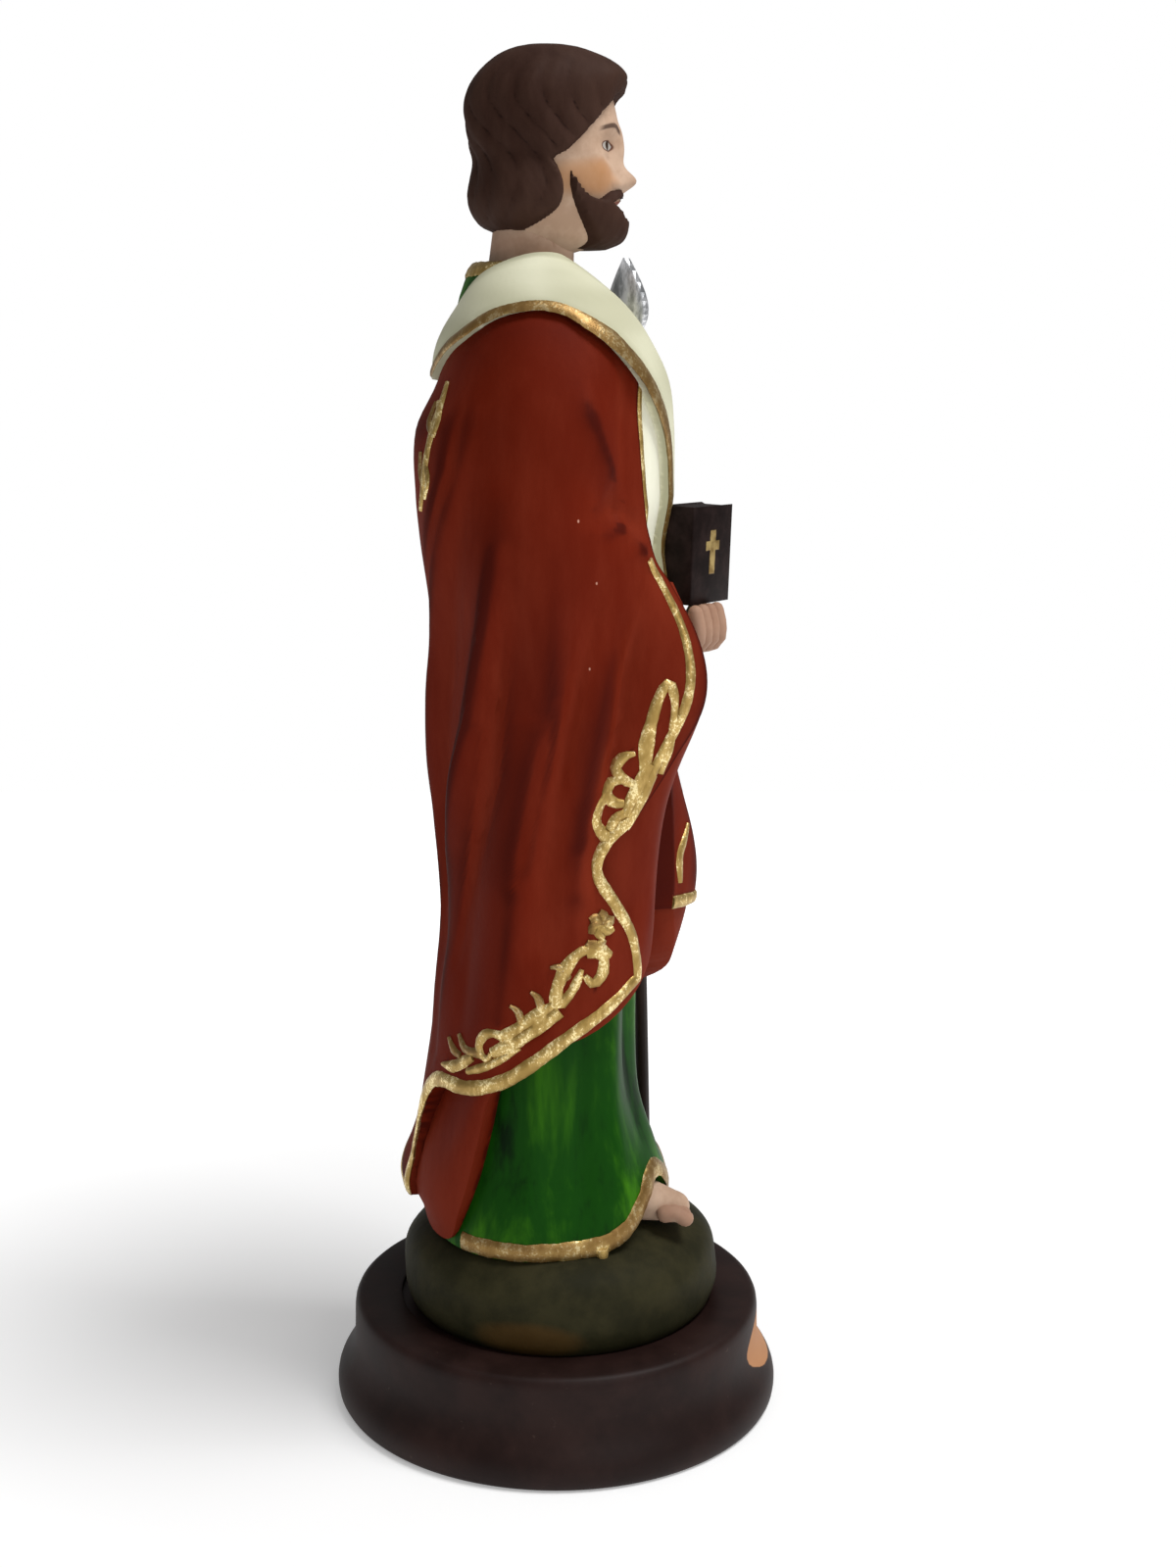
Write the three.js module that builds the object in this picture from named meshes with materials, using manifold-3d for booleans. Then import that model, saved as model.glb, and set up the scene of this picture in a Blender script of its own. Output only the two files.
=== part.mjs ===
// A cast resin saint on a round plinth: a bearded man in a green tunic and a red mantle lined
// with cream, a book in his right hand and a halberd in his left.
// Millimetres, +Z up. The front of the figure faces -Y, so its right side faces -X.
// The origin is the centre of the plinth's underside.
import * as THREE from "three";
import { mergeVertices } from "three/addons/utils/BufferGeometryUtils.js";
import Module from "manifold-3d";

const wasm = await Module();
wasm.setup();

// Driving dimensions
const FIGURE_HEIGHT = 255.5; // soles to the crown of the hair
const PLINTH_FOOT_RADIUS = 51.2;
const PLINTH_TOP_RADIUS = 47;
const PLINTH_HEIGHT = 23.6;
const SEAT_DEPTH = 1.2; // shallow recess in the plinth's top that takes the mound
const SEAT_CLEARANCE = 2; // open ring round the mound's foot
const FIT_GAP = 0.3; // between separate pieces
const MOUND_RADIUS = 36.5;
const MOUND_UNDERCUT = 2.5; // how far the mound's foot lies inside its widest ring
const MOUND_HEIGHT = 21.8; // from the floor of the seat to the soles
const MOUND_BELLY = 0.38; // share of the mound's height where it is widest
const MOUND_FORWARD = 1; // the mound and figure stand a little forward of centre
const STAFF_RADIUS = 1.7;
const HALBERD_ABOVE_FIST = 62; // from the middle of the fist to the tip
const BLADE_THICKNESS = 2.2;
const SOCKET_WALL = 0.9; // the socket of the halberd's head, round the staff
const BOOK_WIDTH = 16;
const BOOK_THICKNESS = 8;
const BOOK_HEIGHT = 21;

// The figure is drawn with its soles at 44.5 and its crown at 300; UNIT turns a drawn
// millimetre into a real one.
const DRAWN_SOLES = 44.5;
const DRAWN_CROWN = 300;
const UNIT = FIGURE_HEIGHT / (DRAWN_CROWN - DRAWN_SOLES);
const SEAT_FLOOR = PLINTH_HEIGHT - SEAT_DEPTH;
const moundFootRadius = MOUND_RADIUS - MOUND_UNDERCUT;
const MOUND_FLOOR = SEAT_FLOOR + FIT_GAP;
const SOLES = MOUND_FLOOR + MOUND_HEIGHT;
const AXIS_Y = 3; // the line that the robes' sections are drawn round

const place = (x, y, z) =>
  new THREE.Vector3(x * UNIT, y * UNIT, SOLES + (z - DRAWN_SOLES) * UNIT);
const lerp = THREE.MathUtils.lerp;
const DEGREE = Math.PI / 180;

// Robes. An angle runs round the figure from the front (0) by its right side (90), back (180)
// and left side (270). A section row is height, half width, reach to the front, reach to the back.
const TUNIC = [
  [38, 27.5, 27.5, 25],
  [44, 28, 28.5, 25],
  [53, 26.5, 28.2, 24],
  [60, 25, 25.5, 23],
  [75, 23.5, 22.8, 21],
  [98, 22.5, 22.4, 20],
  [130, 22, 22, 19],
  [160, 21.5, 21.5, 19],
  [190, 23, 22, 20],
  [215, 27, 24, 21],
  [235, 27, 22, 20.5],
  [245, 22, 16, 18.5],
  [252, 15, 9, 16.5],
  [257, 10.5, 6, 13.5],
];
const MANTLE = [
  [44, 29.5, 26, 28],
  [52, 31, 26, 30.6],
  [67, 32, 26, 28.2],
  [84, 33, 27, 25.3],
  [98, 33.5, 27, 23.7],
  [116, 34, 27.5, 22],
  [139, 35, 28, 23.3],
  [152, 36, 28, 24.7],
  [165, 37, 28, 24.8],
  [180, 38, 27, 24],
  [198, 38.5, 26, 26.5],
  [208, 38, 26, 27.5],
  [221, 37, 26, 27.2],
  [231, 35, 25, 22.4],
  [240, 31.5, 21, 19.5],
  [246, 26.5, 17, 17],
  [251, 20, 12, 15],
  [256, 12.5, 6, 12.5],
];
const SECTION_POWER = 2.3;

// What the body pushes out from under the mantle: angle, height, amount, and how far it spreads.
const MANTLE_SWELLS = [
  { name: "right forearm", angle: 32, height: 170, out: 11.5, wide: 18, tall: 22 },
  { name: "right elbow", angle: 96, height: 192, out: 2, wide: 26, tall: 20 },
  { name: "right upper arm", angle: 88, height: 222, out: 1.5, wide: 24, tall: 18 },
  { name: "left forearm", angle: 326, height: 176, out: 5, wide: 15, tall: 22 },
  { name: "left drape", angle: 329, height: 118, out: 12, wide: 13, tall: 27 },
  { name: "left elbow", angle: 264, height: 192, out: 2, wide: 26, tall: 20 },
  { name: "train corner", angle: 186, height: 50, out: 2.2, wide: 16, tall: 9 },
];

// Folds: a ridge (out) or a valley (negative out) along a path of [angle, height].
const MANTLE_FOLDS = [
  {
    path: [[112, 234], [124, 212], [134, 198], [146, 170], [156, 110], [162, 62]],
    out: 2,
    wide: 4.8,
  },
  { path: [[108, 226], [118, 200], [128, 170], [142, 130], [150, 86]], out: -2.2, wide: 4.6 },
  {
    path: [[102, 206], [108, 184], [117, 162], [134, 136], [144, 106], [148, 84]],
    out: 1.9,
    wide: 4,
  },
  {
    path: [[98, 196], [102, 180], [107, 160], [113, 142], [124, 110], [128, 88]],
    out: -1.9,
    wide: 4.4,
  },
  { path: [[86, 196], [87, 163], [93, 147], [100, 128], [106, 98]], out: 1.7, wide: 4.6 },
  { path: [[70, 198], [74, 182], [81, 162], [86, 146], [91, 116]], out: -2.1, wide: 4.2 },
  { path: [[64, 184], [71, 162], [75, 146], [78, 126]], out: 1, wide: 4 },
  {
    path: [[52, 192], [58, 178], [62, 160], [67, 147], [71, 134], [70, 122]],
    out: -2.5,
    wide: 3.8,
  },
  { path: [[58, 236], [61, 216], [64, 206]], out: -3, wide: 5 },
  { path: [[52, 197], [60, 205], [72, 208]], out: -2.4, wide: 3.8 },
  { path: [[172, 216], [176, 150], [172, 60]], out: -2, wide: 7 },
  { path: [[190, 222], [190, 150], [186, 56]], out: 1.8, wide: 7 },
  { path: [[206, 226], [208, 150], [200, 70]], out: -2, wide: 7 },
  { path: [[226, 226], [226, 160], [216, 90]], out: 1.8, wide: 7 },
  { path: [[244, 210], [246, 150], [238, 96]], out: -2, wide: 6.3 },
  { path: [[262, 196], [266, 150], [258, 100]], out: 1.6, wide: 6.3 },
  { path: [[284, 190], [288, 150], [282, 108]], out: -2, wide: 5.6 },
  { path: [[302, 186], [306, 150], [308, 112]], out: -1.6, wide: 4.9 },
];
const TUNIC_FOLDS = [
  { path: [[350, 205], [352, 120], [350, 60]], out: -1.6, wide: 4.5 },
  { path: [[8, 200], [6, 120], [8, 62]], out: 1.4, wide: 4.5 },
  { path: [[24, 190], [22, 120], [26, 66]], out: -1.5, wide: 4.2 },
  { path: [[44, 120], [46, 90], [52, 50]], out: 1.3, wide: 5 },
  { path: [[66, 110], [68, 80], [72, 46]], out: -1.4, wide: 5 },
  { path: [[92, 100], [94, 70], [98, 46]], out: 1.3, wide: 5 },
  { path: [[334, 110], [330, 80], [326, 50]], out: 1.3, wide: 5 },
  { path: [[308, 110], [304, 80], [300, 46]], out: -1.4, wide: 5 },
  { path: [[284, 100], [278, 70], [274, 46]], out: 1.3, wide: 5 },
];

// Edges of each draped cloth as [angle, height]: the top and bottom run from its right front
// round the back to its left front, the sides run down.
const MANTLE_EDGES = {
  top: [
    [45, 238], [58, 244], [75, 249], [95, 250], [120, 246], [150, 240], [180, 236],
    [210, 240], [240, 246], [265, 250], [285, 249], [302, 244], [315, 238],
  ],
  right: [
    [45, 238], [51, 228], [51, 217], [49, 206], [46, 196], [40, 190], [36, 182], [35, 172],
    [36, 163], [40, 155], [45, 147], [54, 140], [64, 133], [66, 127], [60, 120], [52, 113],
    [48, 106],
  ],
  bottom: [
    [48, 106], [54, 103.2], [66, 98.8], [79, 94], [92, 88.2], [104, 83.6], [120, 80.5],
    [140, 79.5], [152, 76], [160, 68], [166, 58], [170, 49], [180, 46.5], [190, 49],
    [198, 58], [206, 70], [218, 80], [236, 88], [254, 93.5], [272, 99], [288, 104],
    [304, 108], [320, 110.5], [334, 111.5], [345, 112.5],
  ],
  left: [
    [315, 238], [308, 228], [306, 218], [303, 208], [300, 199], [303, 192], [315, 187],
    [327, 181], [335, 172], [340, 160], [343, 146], [345, 132], [345, 122], [345, 112.5],
  ],
};
const UNDERLAYER_EDGES = {
  top: [[34, 190], [90, 190], [180, 190], [270, 190], [326, 190]],
  right: [[34, 190], [30, 172], [28, 150], [27, 134], [28, 120], [29, 110]],
  bottom: [
    [29, 110], [32, 104], [38, 100.5], [50, 98], [70, 95], [90, 91], [104, 86.5], [112, 80],
    [117, 70], [122, 60], [128, 51], [136, 44], [150, 42.5], [180, 42], [210, 42.5],
    [224, 44], [231, 52], [238, 62], [246, 74], [262, 81], [285, 85], [305, 89], [322, 93],
    [332, 98], [338, 105], [341, 112],
  ],
  left: [[326, 190], [334, 170], [338, 150], [341, 130], [341, 112]],
};
const UNDERLAYER_INSET = 1.6; // how far the under layer lies inside the outer one

// The turned-back collar: its neck edge and its outer edge, from the chest on the right,
// round the back, to the chest on the left, as [angle, height].
const COLLAR_INNER = [
  [8, 188], [8, 206], [9, 222], [14, 236], [30, 248], [60, 255.5], [100, 256.5], [132, 253],
  [155, 246], [180, 241.5], [205, 246], [228, 253], [260, 256.5], [300, 255.5], [330, 248],
  [346, 236], [351, 222], [352, 206], [352, 188],
];
const COLLAR_OUTER = [
  [23, 186], [24, 204], [28, 216], [44, 228], [54, 235], [68, 241.5], [84, 246.5], [105, 245],
  [130, 238.6], [180, 231.2], [230, 238.6], [255, 245], [276, 246.5], [292, 241.5], [306, 235],
  [316, 228], [332, 216], [336, 204], [337, 186],
];
const COLLAR_RISE = 2.4; // how far the collar stands out from the mantle

// Cubic interpolation of rows that start with the value they are looked up by.
function lookUp(rows, at) {
  const falling = rows[0][0] > rows[1][0];
  const list = falling ? [...rows].reverse() : rows;
  const last = list.length - 1;
  if (at <= list[0][0]) return list[0].slice(1);
  if (at >= list[last][0]) return list[last].slice(1);
  let i = 0;
  while (at > list[i + 1][0]) i += 1;
  const [a, b] = [list[i], list[i + 1]];
  const [before, after] = [list[Math.max(i - 1, 0)], list[Math.min(i + 2, last)]];
  const span = b[0] - a[0];
  const t = (at - a[0]) / span;
  return a.slice(1).map((_, column) => {
    const k = column + 1;
    const slopeIn = ((b[k] - before[k]) / (b[0] - before[0])) * span;
    const slopeOut = ((after[k] - a[k]) / (after[0] - a[0])) * span;
    const [t2, t3] = [t * t, t * t * t];
    return (
      (2 * t3 - 3 * t2 + 1) * a[k] +
      (t3 - 2 * t2 + t) * slopeIn +
      (3 * t2 - 2 * t3) * b[k] +
      (t3 - t2) * slopeOut
    );
  });
}

// The same, by a share from 0 to 1 of the list's length.
function along(path, share) {
  const rows = path.map((point, i) => [i / (path.length - 1), ...point]);
  return lookUp(rows, share);
}

const turnBetween = (a, b) => ((((a - b) % 360) + 540) % 360) - 180;

function sectionRadius(rows, angle, height) {
  const [halfWidth, front, back] = lookUp(rows, height);
  const across = Math.abs(Math.sin(angle * DEGREE)) / halfWidth;
  const deep = Math.abs(Math.cos(angle * DEGREE));
  const reach = Math.cos(angle * DEGREE) > 0 ? front : back;
  const sum = across ** SECTION_POWER + (deep / reach) ** SECTION_POWER;
  return sum ** (-1 / SECTION_POWER);
}

function swell(list, angle, height) {
  return list.reduce((sum, s) => {
    const turn = turnBetween(angle, s.angle) / s.wide;
    const rise = (height - s.height) / s.tall;
    return sum + s.out * Math.exp(-turn * turn - rise * rise);
  }, 0);
}

// Distance is measured on the cloth unrolled at FOLD_RADIUS.
const FOLD_RADIUS = 32;
function folds(list, angle, height) {
  const side = FOLD_RADIUS * DEGREE;
  let sum = 0;
  for (const fold of list) {
    let nearest = Infinity;
    for (let i = 0; i + 1 < fold.path.length; i += 1) {
      const [a0, h0] = fold.path[i];
      const [a1, h1] = fold.path[i + 1];
      const run = [(a1 - a0) * side, h1 - h0];
      const to = [turnBetween(angle, a0) * side, height - h0];
      const share = THREE.MathUtils.clamp(
        (run[0] * to[0] + run[1] * to[1]) / (run[0] ** 2 + run[1] ** 2),
        0,
        1,
      );
      nearest = Math.min(nearest, Math.hypot(to[0] - share * run[0], to[1] - share * run[1]));
    }
    sum += fold.out * Math.exp(-((nearest / fold.wide) ** 2));
  }
  return sum;
}

const tunicRadius = (angle, height) =>
  sectionRadius(TUNIC, angle, height) + folds(TUNIC_FOLDS, angle, height);
const mantleRadius = (angle, height) =>
  sectionRadius(MANTLE, angle, height) +
  swell(MANTLE_SWELLS, angle, height) +
  folds(MANTLE_FOLDS, angle, height);
// Away from its own edges the under layer sinks deeper, where nothing of it shows.
function underlayerRadius(angle, height, s, t) {
  const side = THREE.MathUtils.smoothstep(Math.min(s, 1 - s), 0.04, 0.16);
  const hidden = side * (1 - THREE.MathUtils.smoothstep(t, 0.7, 0.9));
  const radius = mantleRadius(angle, height) - UNDERLAYER_INSET - 3 * hidden;
  return Math.max(radius, tunicRadius(angle, height) + 0.8 - 4 * hidden);
}

const onRobe = (angle, radius, height) =>
  place(
    -Math.sin(angle * DEGREE) * radius,
    AXIS_Y - Math.cos(angle * DEGREE) * radius,
    height,
  );

// Gives each vertex of a plain shape its place on the figure.
function reshape(geometry, fn) {
  const position = geometry.getAttribute("position");
  const point = new THREE.Vector3();
  for (let i = 0; i < position.count; i += 1) {
    point.fromBufferAttribute(position, i);
    const moved = fn(point);
    position.setXYZ(i, moved.x, moved.y, moved.z);
  }
  return geometry;
}

function toSolid(geometry) {
  const bare = geometry.index ? geometry.toNonIndexed() : geometry.clone();
  bare.deleteAttribute("normal");
  bare.deleteAttribute("uv");
  const welded = mergeVertices(bare, 1e-4);
  return new wasm.Manifold(
    new wasm.Mesh({
      numProp: 3,
      vertProperties: welded.attributes.position.array,
      triVerts: new Uint32Array(welded.index.array),
    }),
  );
}

function toGeometry(solid) {
  const mesh = solid.getMesh();
  const vertices = new Float32Array(mesh.numVert * 3);
  for (let i = 0; i < mesh.numVert; i += 1) {
    vertices.set(mesh.vertProperties.subarray(i * mesh.numProp, i * mesh.numProp + 3), i * 3);
  }
  const geometry = new THREE.BufferGeometry();
  geometry.setAttribute("position", new THREE.BufferAttribute(vertices, 3));
  geometry.setIndex(new THREE.BufferAttribute(mesh.triVerts, 1));
  geometry.computeVertexNormals();
  return geometry;
}

const joined = (solids) => solids.reduce((all, next) => all.add(next));

// An egg shape: a sphere with its own half sizes, placed in the figure.
function egg(centre, half, turn = [0, 0, 0], sides = 11, rings = 7) {
  const rotation = new THREE.Euler(...turn.map((angle) => angle * DEGREE));
  const shape = new THREE.SphereGeometry(1, sides, rings).rotateX(Math.PI / 2);
  return toSolid(
    reshape(shape, (v) => {
      const p = new THREE.Vector3(v.x * half[0], v.y * half[1], v.z * half[2]);
      p.applyEuler(rotation);
      return place(centre[0] + p.x, centre[1] + p.y, centre[2] + p.z);
    }),
  );
}

// A limb or finger: a capsule between two points, tapering from one radius to the other.
function limb(from, to, radiusFrom, radiusTo, sides = 6) {
  const [a, b] = [place(...from), place(...to)];
  const length = a.distanceTo(b);
  const shape = new THREE.CapsuleGeometry(1, 1, 2, sides).rotateX(Math.PI / 2);
  const turn = new THREE.Quaternion().setFromUnitVectors(
    new THREE.Vector3(0, 0, 1),
    b.clone().sub(a).normalize(),
  );
  return toSolid(
    reshape(shape, (v) => {
      const end = v.z > 0 ? 1 : 0;
      const radius = (end ? radiusTo : radiusFrom) * UNIT;
      const cap = v.z - (end ? 0.5 : -0.5);
      const p = new THREE.Vector3(v.x * radius, v.y * radius, cap * radius + end * length);
      return p.applyQuaternion(turn).add(a);
    }),
  );
}

// The tunic: one column from the hem, which lifts over each foot, up to the neck.
const HEM_HEIGHT = 42;
const HEM_LIFTS = [
  { angle: 24, height: 0, out: 13, wide: 17, tall: 1 },
  { angle: 334, height: 0, out: 9, wide: 16, tall: 1 },
];
function tunic() {
  const shape = new THREE.CylinderGeometry(1, 1, 1, 32, 13).rotateX(Math.PI / 2);
  const top = TUNIC[TUNIC.length - 1][0];
  const column = reshape(shape, (v) => {
    const angle = Math.atan2(-v.x, -v.y) / DEGREE;
    const rim = Math.hypot(v.x, v.y) > 0.5;
    const hem = rim ? HEM_HEIGHT + swell(HEM_LIFTS, angle, 0) : HEM_HEIGHT;
    const height = lerp(hem, top, v.z + 0.5);
    return onRobe(angle, rim ? tunicRadius(angle, height) : 0, height);
  });
  const legs = egg([0, 2, 48], [23, 21.5, 20], [0, 0, 0], 16, 8);
  return toSolid(column).add(legs);
}

// A block of cloth between two edges: its outer face is the draped surface, and it reaches in
// to a core inside the tunic, so that the casting is solid.
const CLOTH_CORE = 9;
function patch({ top, right, bottom, left }, s, t) {
  const [above, below] = [along(top, s), along(bottom, s)];
  const [before, after] = [along(right, t), along(left, t)];
  const corners = [top[0], top.at(-1), bottom[0], bottom.at(-1)];
  return [0, 1].map((k) => {
    const [a, b, c, d] = corners.map((corner) => corner[k]);
    const flat = lerp(lerp(a, b, s), lerp(c, d, s), t);
    return lerp(above[k], below[k], t) + lerp(before[k], after[k], s) - flat;
  });
}
function clothBlock(edges, radiusAt, columns, rows) {
  const shape = new THREE.BoxGeometry(1, 1, 1, columns, rows, 1);
  return toSolid(
    reshape(shape, (v) => {
      const [s, t] = [v.x + 0.5, v.y + 0.5];
      const [angle, height] = patch(edges, s, t);
      return onRobe(angle, v.z > 0 ? radiusAt(angle, height, s, t) : CLOTH_CORE, height);
    }),
  );
}

function collar() {
  const shape = new THREE.BoxGeometry(1, 1, 1, 32, 2, 1);
  return toSolid(
    reshape(shape, (v) => {
      const inner = along(COLLAR_INNER, v.x + 0.5);
      const outer = along(COLLAR_OUTER, v.x + 0.5);
      const across = v.y + 0.5;
      const [angle, height] = [0, 1].map((k) => lerp(inner[k], outer[k], across));
      const crown = COLLAR_RISE * (0.55 + 0.45 * Math.sin(Math.PI * across));
      if (v.z < 0) return onRobe(angle, CLOTH_CORE, height - 2);
      const radius = sectionRadius(MANTLE, angle, height) + swell(MANTLE_SWELLS, angle, height);
      return onRobe(angle, radius + crown, height + 0.4 * crown);
    }),
  );
}

// The band of lining that falls from the collar down the right of the chest.
const LAPEL_EDGES = {
  top: [[40, 238], [54, 238]],
  right: [[40, 238], [38, 228], [34, 210], [30, 196], [28, 186]],
  bottom: [[28, 186], [50, 186]],
  left: [[54, 238], [54, 228], [52, 210], [50, 196], [50, 186]],
};
const lapel = () =>
  clothBlock(LAPEL_EDGES, (angle, height) => sectionRadius(MANTLE, angle, height) - 0.6, 4, 7);

// The head: a skull and neck with calm, regular features, a cap of hair that covers the ears,
// and a short full beard. Sections are drawn round HEAD_Y in the same way as the robes'.
const HEAD_Y = 2.5;
const SKULL = [
  [258, 6, 6, 5],
  [260, 8, 12, 7.5],
  [263, 9.6, 13.6, 9.5],
  [267, 10.8, 14.2, 11],
  [272, 11.8, 14.6, 13],
  [277, 12.4, 14.6, 14.5],
  [282, 12.7, 15, 15.3],
  [287, 12.4, 14.8, 15.4],
  [291, 11.4, 13.4, 14.4],
  [295, 8.6, 10, 11.4],
  [298, 3.6, 4.2, 5],
];
const FEATURES = [
  { name: "bridge", angle: 0, height: 278.5, out: 2.2, wide: 9, tall: 4.6 },
  { name: "nose", angle: 0, height: 272.4, out: 4.4, wide: 9, tall: 2.5 },
  { name: "right nostril", angle: 13, height: 271.4, out: 1.3, wide: 6, tall: 1.5 },
  { name: "left nostril", angle: -13, height: 271.4, out: 1.3, wide: 6, tall: 1.5 },
  { name: "right brow", angle: 22, height: 282.6, out: 1.1, wide: 15, tall: 1.6 },
  { name: "left brow", angle: -22, height: 282.6, out: 1.1, wide: 15, tall: 1.6 },
  { name: "right socket", angle: 21, height: 279.2, out: -2.6, wide: 11, tall: 2.7 },
  { name: "left socket", angle: -21, height: 279.2, out: -2.6, wide: 11, tall: 2.7 },
  { name: "right eye", angle: 22, height: 279, out: 1.9, wide: 7.5, tall: 1.7 },
  { name: "left eye", angle: -22, height: 279, out: 1.9, wide: 7.5, tall: 1.7 },
  { name: "right cheek", angle: 40, height: 274, out: 0.8, wide: 14, tall: 4 },
  { name: "left cheek", angle: -40, height: 274, out: 0.8, wide: 14, tall: 4 },
  { name: "lips", angle: 0, height: 267.4, out: 1.3, wide: 12, tall: 2.2 },
  { name: "chin", angle: 0, height: 261.8, out: 1.6, wide: 16, tall: 2.6 },
];
const faceRadius = (angle, height) =>
  sectionRadius(SKULL, angle, height) + swell(FEATURES, angle, height);

// Hair and beard: their own sections, and the angle from the front where each begins or ends.
const HAIR = [
  [262, 9.5, 8, 12],
  [264, 12.4, 9, 14.6],
  [267.5, 14.2, 10, 15.9],
  [272, 14.5, 12, 16.2],
  [277, 14.4, 14, 16.1],
  [282, 14.7, 15, 16.5],
  [287, 15, 15.6, 16.8],
  [291, 14.6, 16.4, 15.9],
  [294.5, 12.8, 16.2, 13.6],
  [297.5, 9.4, 11.6, 9.8],
  [299.4, 4.6, 6, 5],
  [300, 0.01, 0.01, 0.01],
];
const HAIRLINE = [
  [262, 104], [267, 92], [272, 84], [276, 72], [281, 58], [285, 46], [288.5, 30], [291, 0],
  [292, -40],
];
const BEARD = [
  [257.4, 4, 9, 2],
  [258.6, 7, 13.6, 3],
  [261, 9.6, 17.2, 4],
  [264.5, 11.6, 17.8, 5],
  [268, 12.4, 17, 5],
  [271, 12.8, 16.2, 5],
  [275, 13, 14, 5],
];
const SIDEBURN = [[262, 40], [266, 30], [269, 24], [271, 34], [275, 66]];
const BEARD_BACK = [[257, 34], [262, 46], [266, 58], [270, 66], [275, 70]];
const STEP = 8; // degrees over which hair and beard rise out of the face
const rise = (turn) => THREE.MathUtils.smoothstep(turn, -STEP, STEP);
function hairRadius(angle, height) {
  const [edge] = lookUp(HAIRLINE, height);
  const out = rise(Math.abs(turnBetween(angle, 0)) - edge);
  const locks = 0.55 * Math.sin(angle * 0.16 + height * 0.42) * Math.sin(height * 0.21 + 1);
  const full = sectionRadius(HAIR, angle, height);
  return lerp(0.72 * full, full + locks, out);
}
function beardRadius(angle, height) {
  const turn = Math.abs(turnBetween(angle, 0));
  const [edge] = lookUp(SIDEBURN, height);
  const cheek = height < 267 ? 1 : rise(turn - edge);
  const moustache = height > 268.4 && height < 271.4 ? rise(26 - turn) : 0;
  const [back] = lookUp(BEARD_BACK, height);
  const out = Math.max(cheek, moustache) * rise(back - turn);
  return lerp(0.6, 1, out) * sectionRadius(BEARD, angle, height);
}

// A closed column round the head's axis. Its facets are finer at the front by the share given.
function headColumn(rows, radiusAt, sides, rings, finer) {
  const shape = new THREE.CylinderGeometry(1, 1, 1, sides, rings).rotateX(Math.PI / 2);
  const [bottom, top] = [rows[0][0], rows.at(-1)[0]];
  return toSolid(
    reshape(shape, (v) => {
      const turn = Math.atan2(-v.x, -v.y);
      const angle = (turn - finer * Math.sin(turn)) / DEGREE;
      const height = lerp(bottom, top, v.z + 0.5);
      const radius = Math.hypot(v.x, v.y) > 0.5 ? radiusAt(angle, height) : 0;
      return place(
        -Math.sin(angle * DEGREE) * radius,
        HEAD_Y - Math.cos(angle * DEGREE) * radius,
        height,
      );
    }),
  );
}
const head = () =>
  headColumn(SKULL, faceRadius, 24, 17, 0.5).add(limb([0, 6, 246], [0, 4.5, 266], 9.6, 8.4, 14));
const hair = () => headColumn(HAIR, hairRadius, 24, 12, 0);
const beard = () => headColumn(BEARD, beardRadius, 20, 7, 0.45);

// The right hand, palm up under the book, with its fingers curled up along the front cover.
function rightHand() {
  const palm = egg([-9, -27, 178], [7.6, 6, 5], [0, 0, -35]);
  const wrist = limb([-22, -8, 183], [-13, -24.5, 178.6], 6, 5.2, 8);
  const [alongX, alongY] = [Math.cos(BOOK_TURN * DEGREE), Math.sin(BOOK_TURN * DEGREE)];
  const fingers = [0, 1, 2, 3].map((i) => {
    const [x, y] = [-14.5 + 2.9 * i * alongX, -28.5 + 2.9 * i * alongY];
    const out = (reach, z) => [x + reach * alongY, y - reach * alongX, z];
    const lower = limb(out(-3, 175.4), out(1.8, 176.8), 2, 1.8);
    return lower.add(limb(out(1.8, 176.8), out(1.2, 183.2), 1.8, 1.6));
  });
  const thumb = limb([-3.5, -27, 178], [0.5, -31.5, 184.6], 2.2, 1.8);
  return joined([palm, wrist, thumb, ...fingers]);
}

// The book, upright on the palm with its front cover turned a third of the way to the front.
const BOOK_CORNER = [-14, -28.5]; // where the spine meets the front cover
const BOOK_BASE = 184.4;
const BOOK_TURN = -35;
function book() {
  const corner = place(...BOOK_CORNER, BOOK_BASE);
  const box = new THREE.BoxGeometry(BOOK_WIDTH, BOOK_THICKNESS, BOOK_HEIGHT);
  box.translate(BOOK_WIDTH / 2, BOOK_THICKNESS / 2, BOOK_HEIGHT / 2);
  box.rotateX(2 * DEGREE);
  box.rotateZ(BOOK_TURN * DEGREE);
  box.translate(corner.x, corner.y, corner.z);
  return toSolid(box);
}

// The left fist, closed round the staff.
const FIST = [29, -17.5, 197];
function leftHand() {
  const [x, y, z] = FIST;
  const palm = egg([x - 1.5, y + 1.5, z], [5.4, 5, 6.2], [0, 0, -30]);
  const wrist = limb([31, 4, 190], [x - 0.5, y + 4, z - 1.5], 8, 5, 9);
  const fingers = [0, 1, 2, 3].map((i) =>
    limb([x + 3.4, y + 1, z + 4.4 - 2.9 * i], [x - 1.6, y - 4.2, z + 4.2 - 2.9 * i], 1.9, 1.7),
  );
  const thumb = limb([x - 3.6, y - 1, z + 3], [x - 0.6, y - 4.4, z + 6.4], 1.9, 1.6);
  return joined([palm, wrist, thumb, ...fingers]);
}

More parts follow.
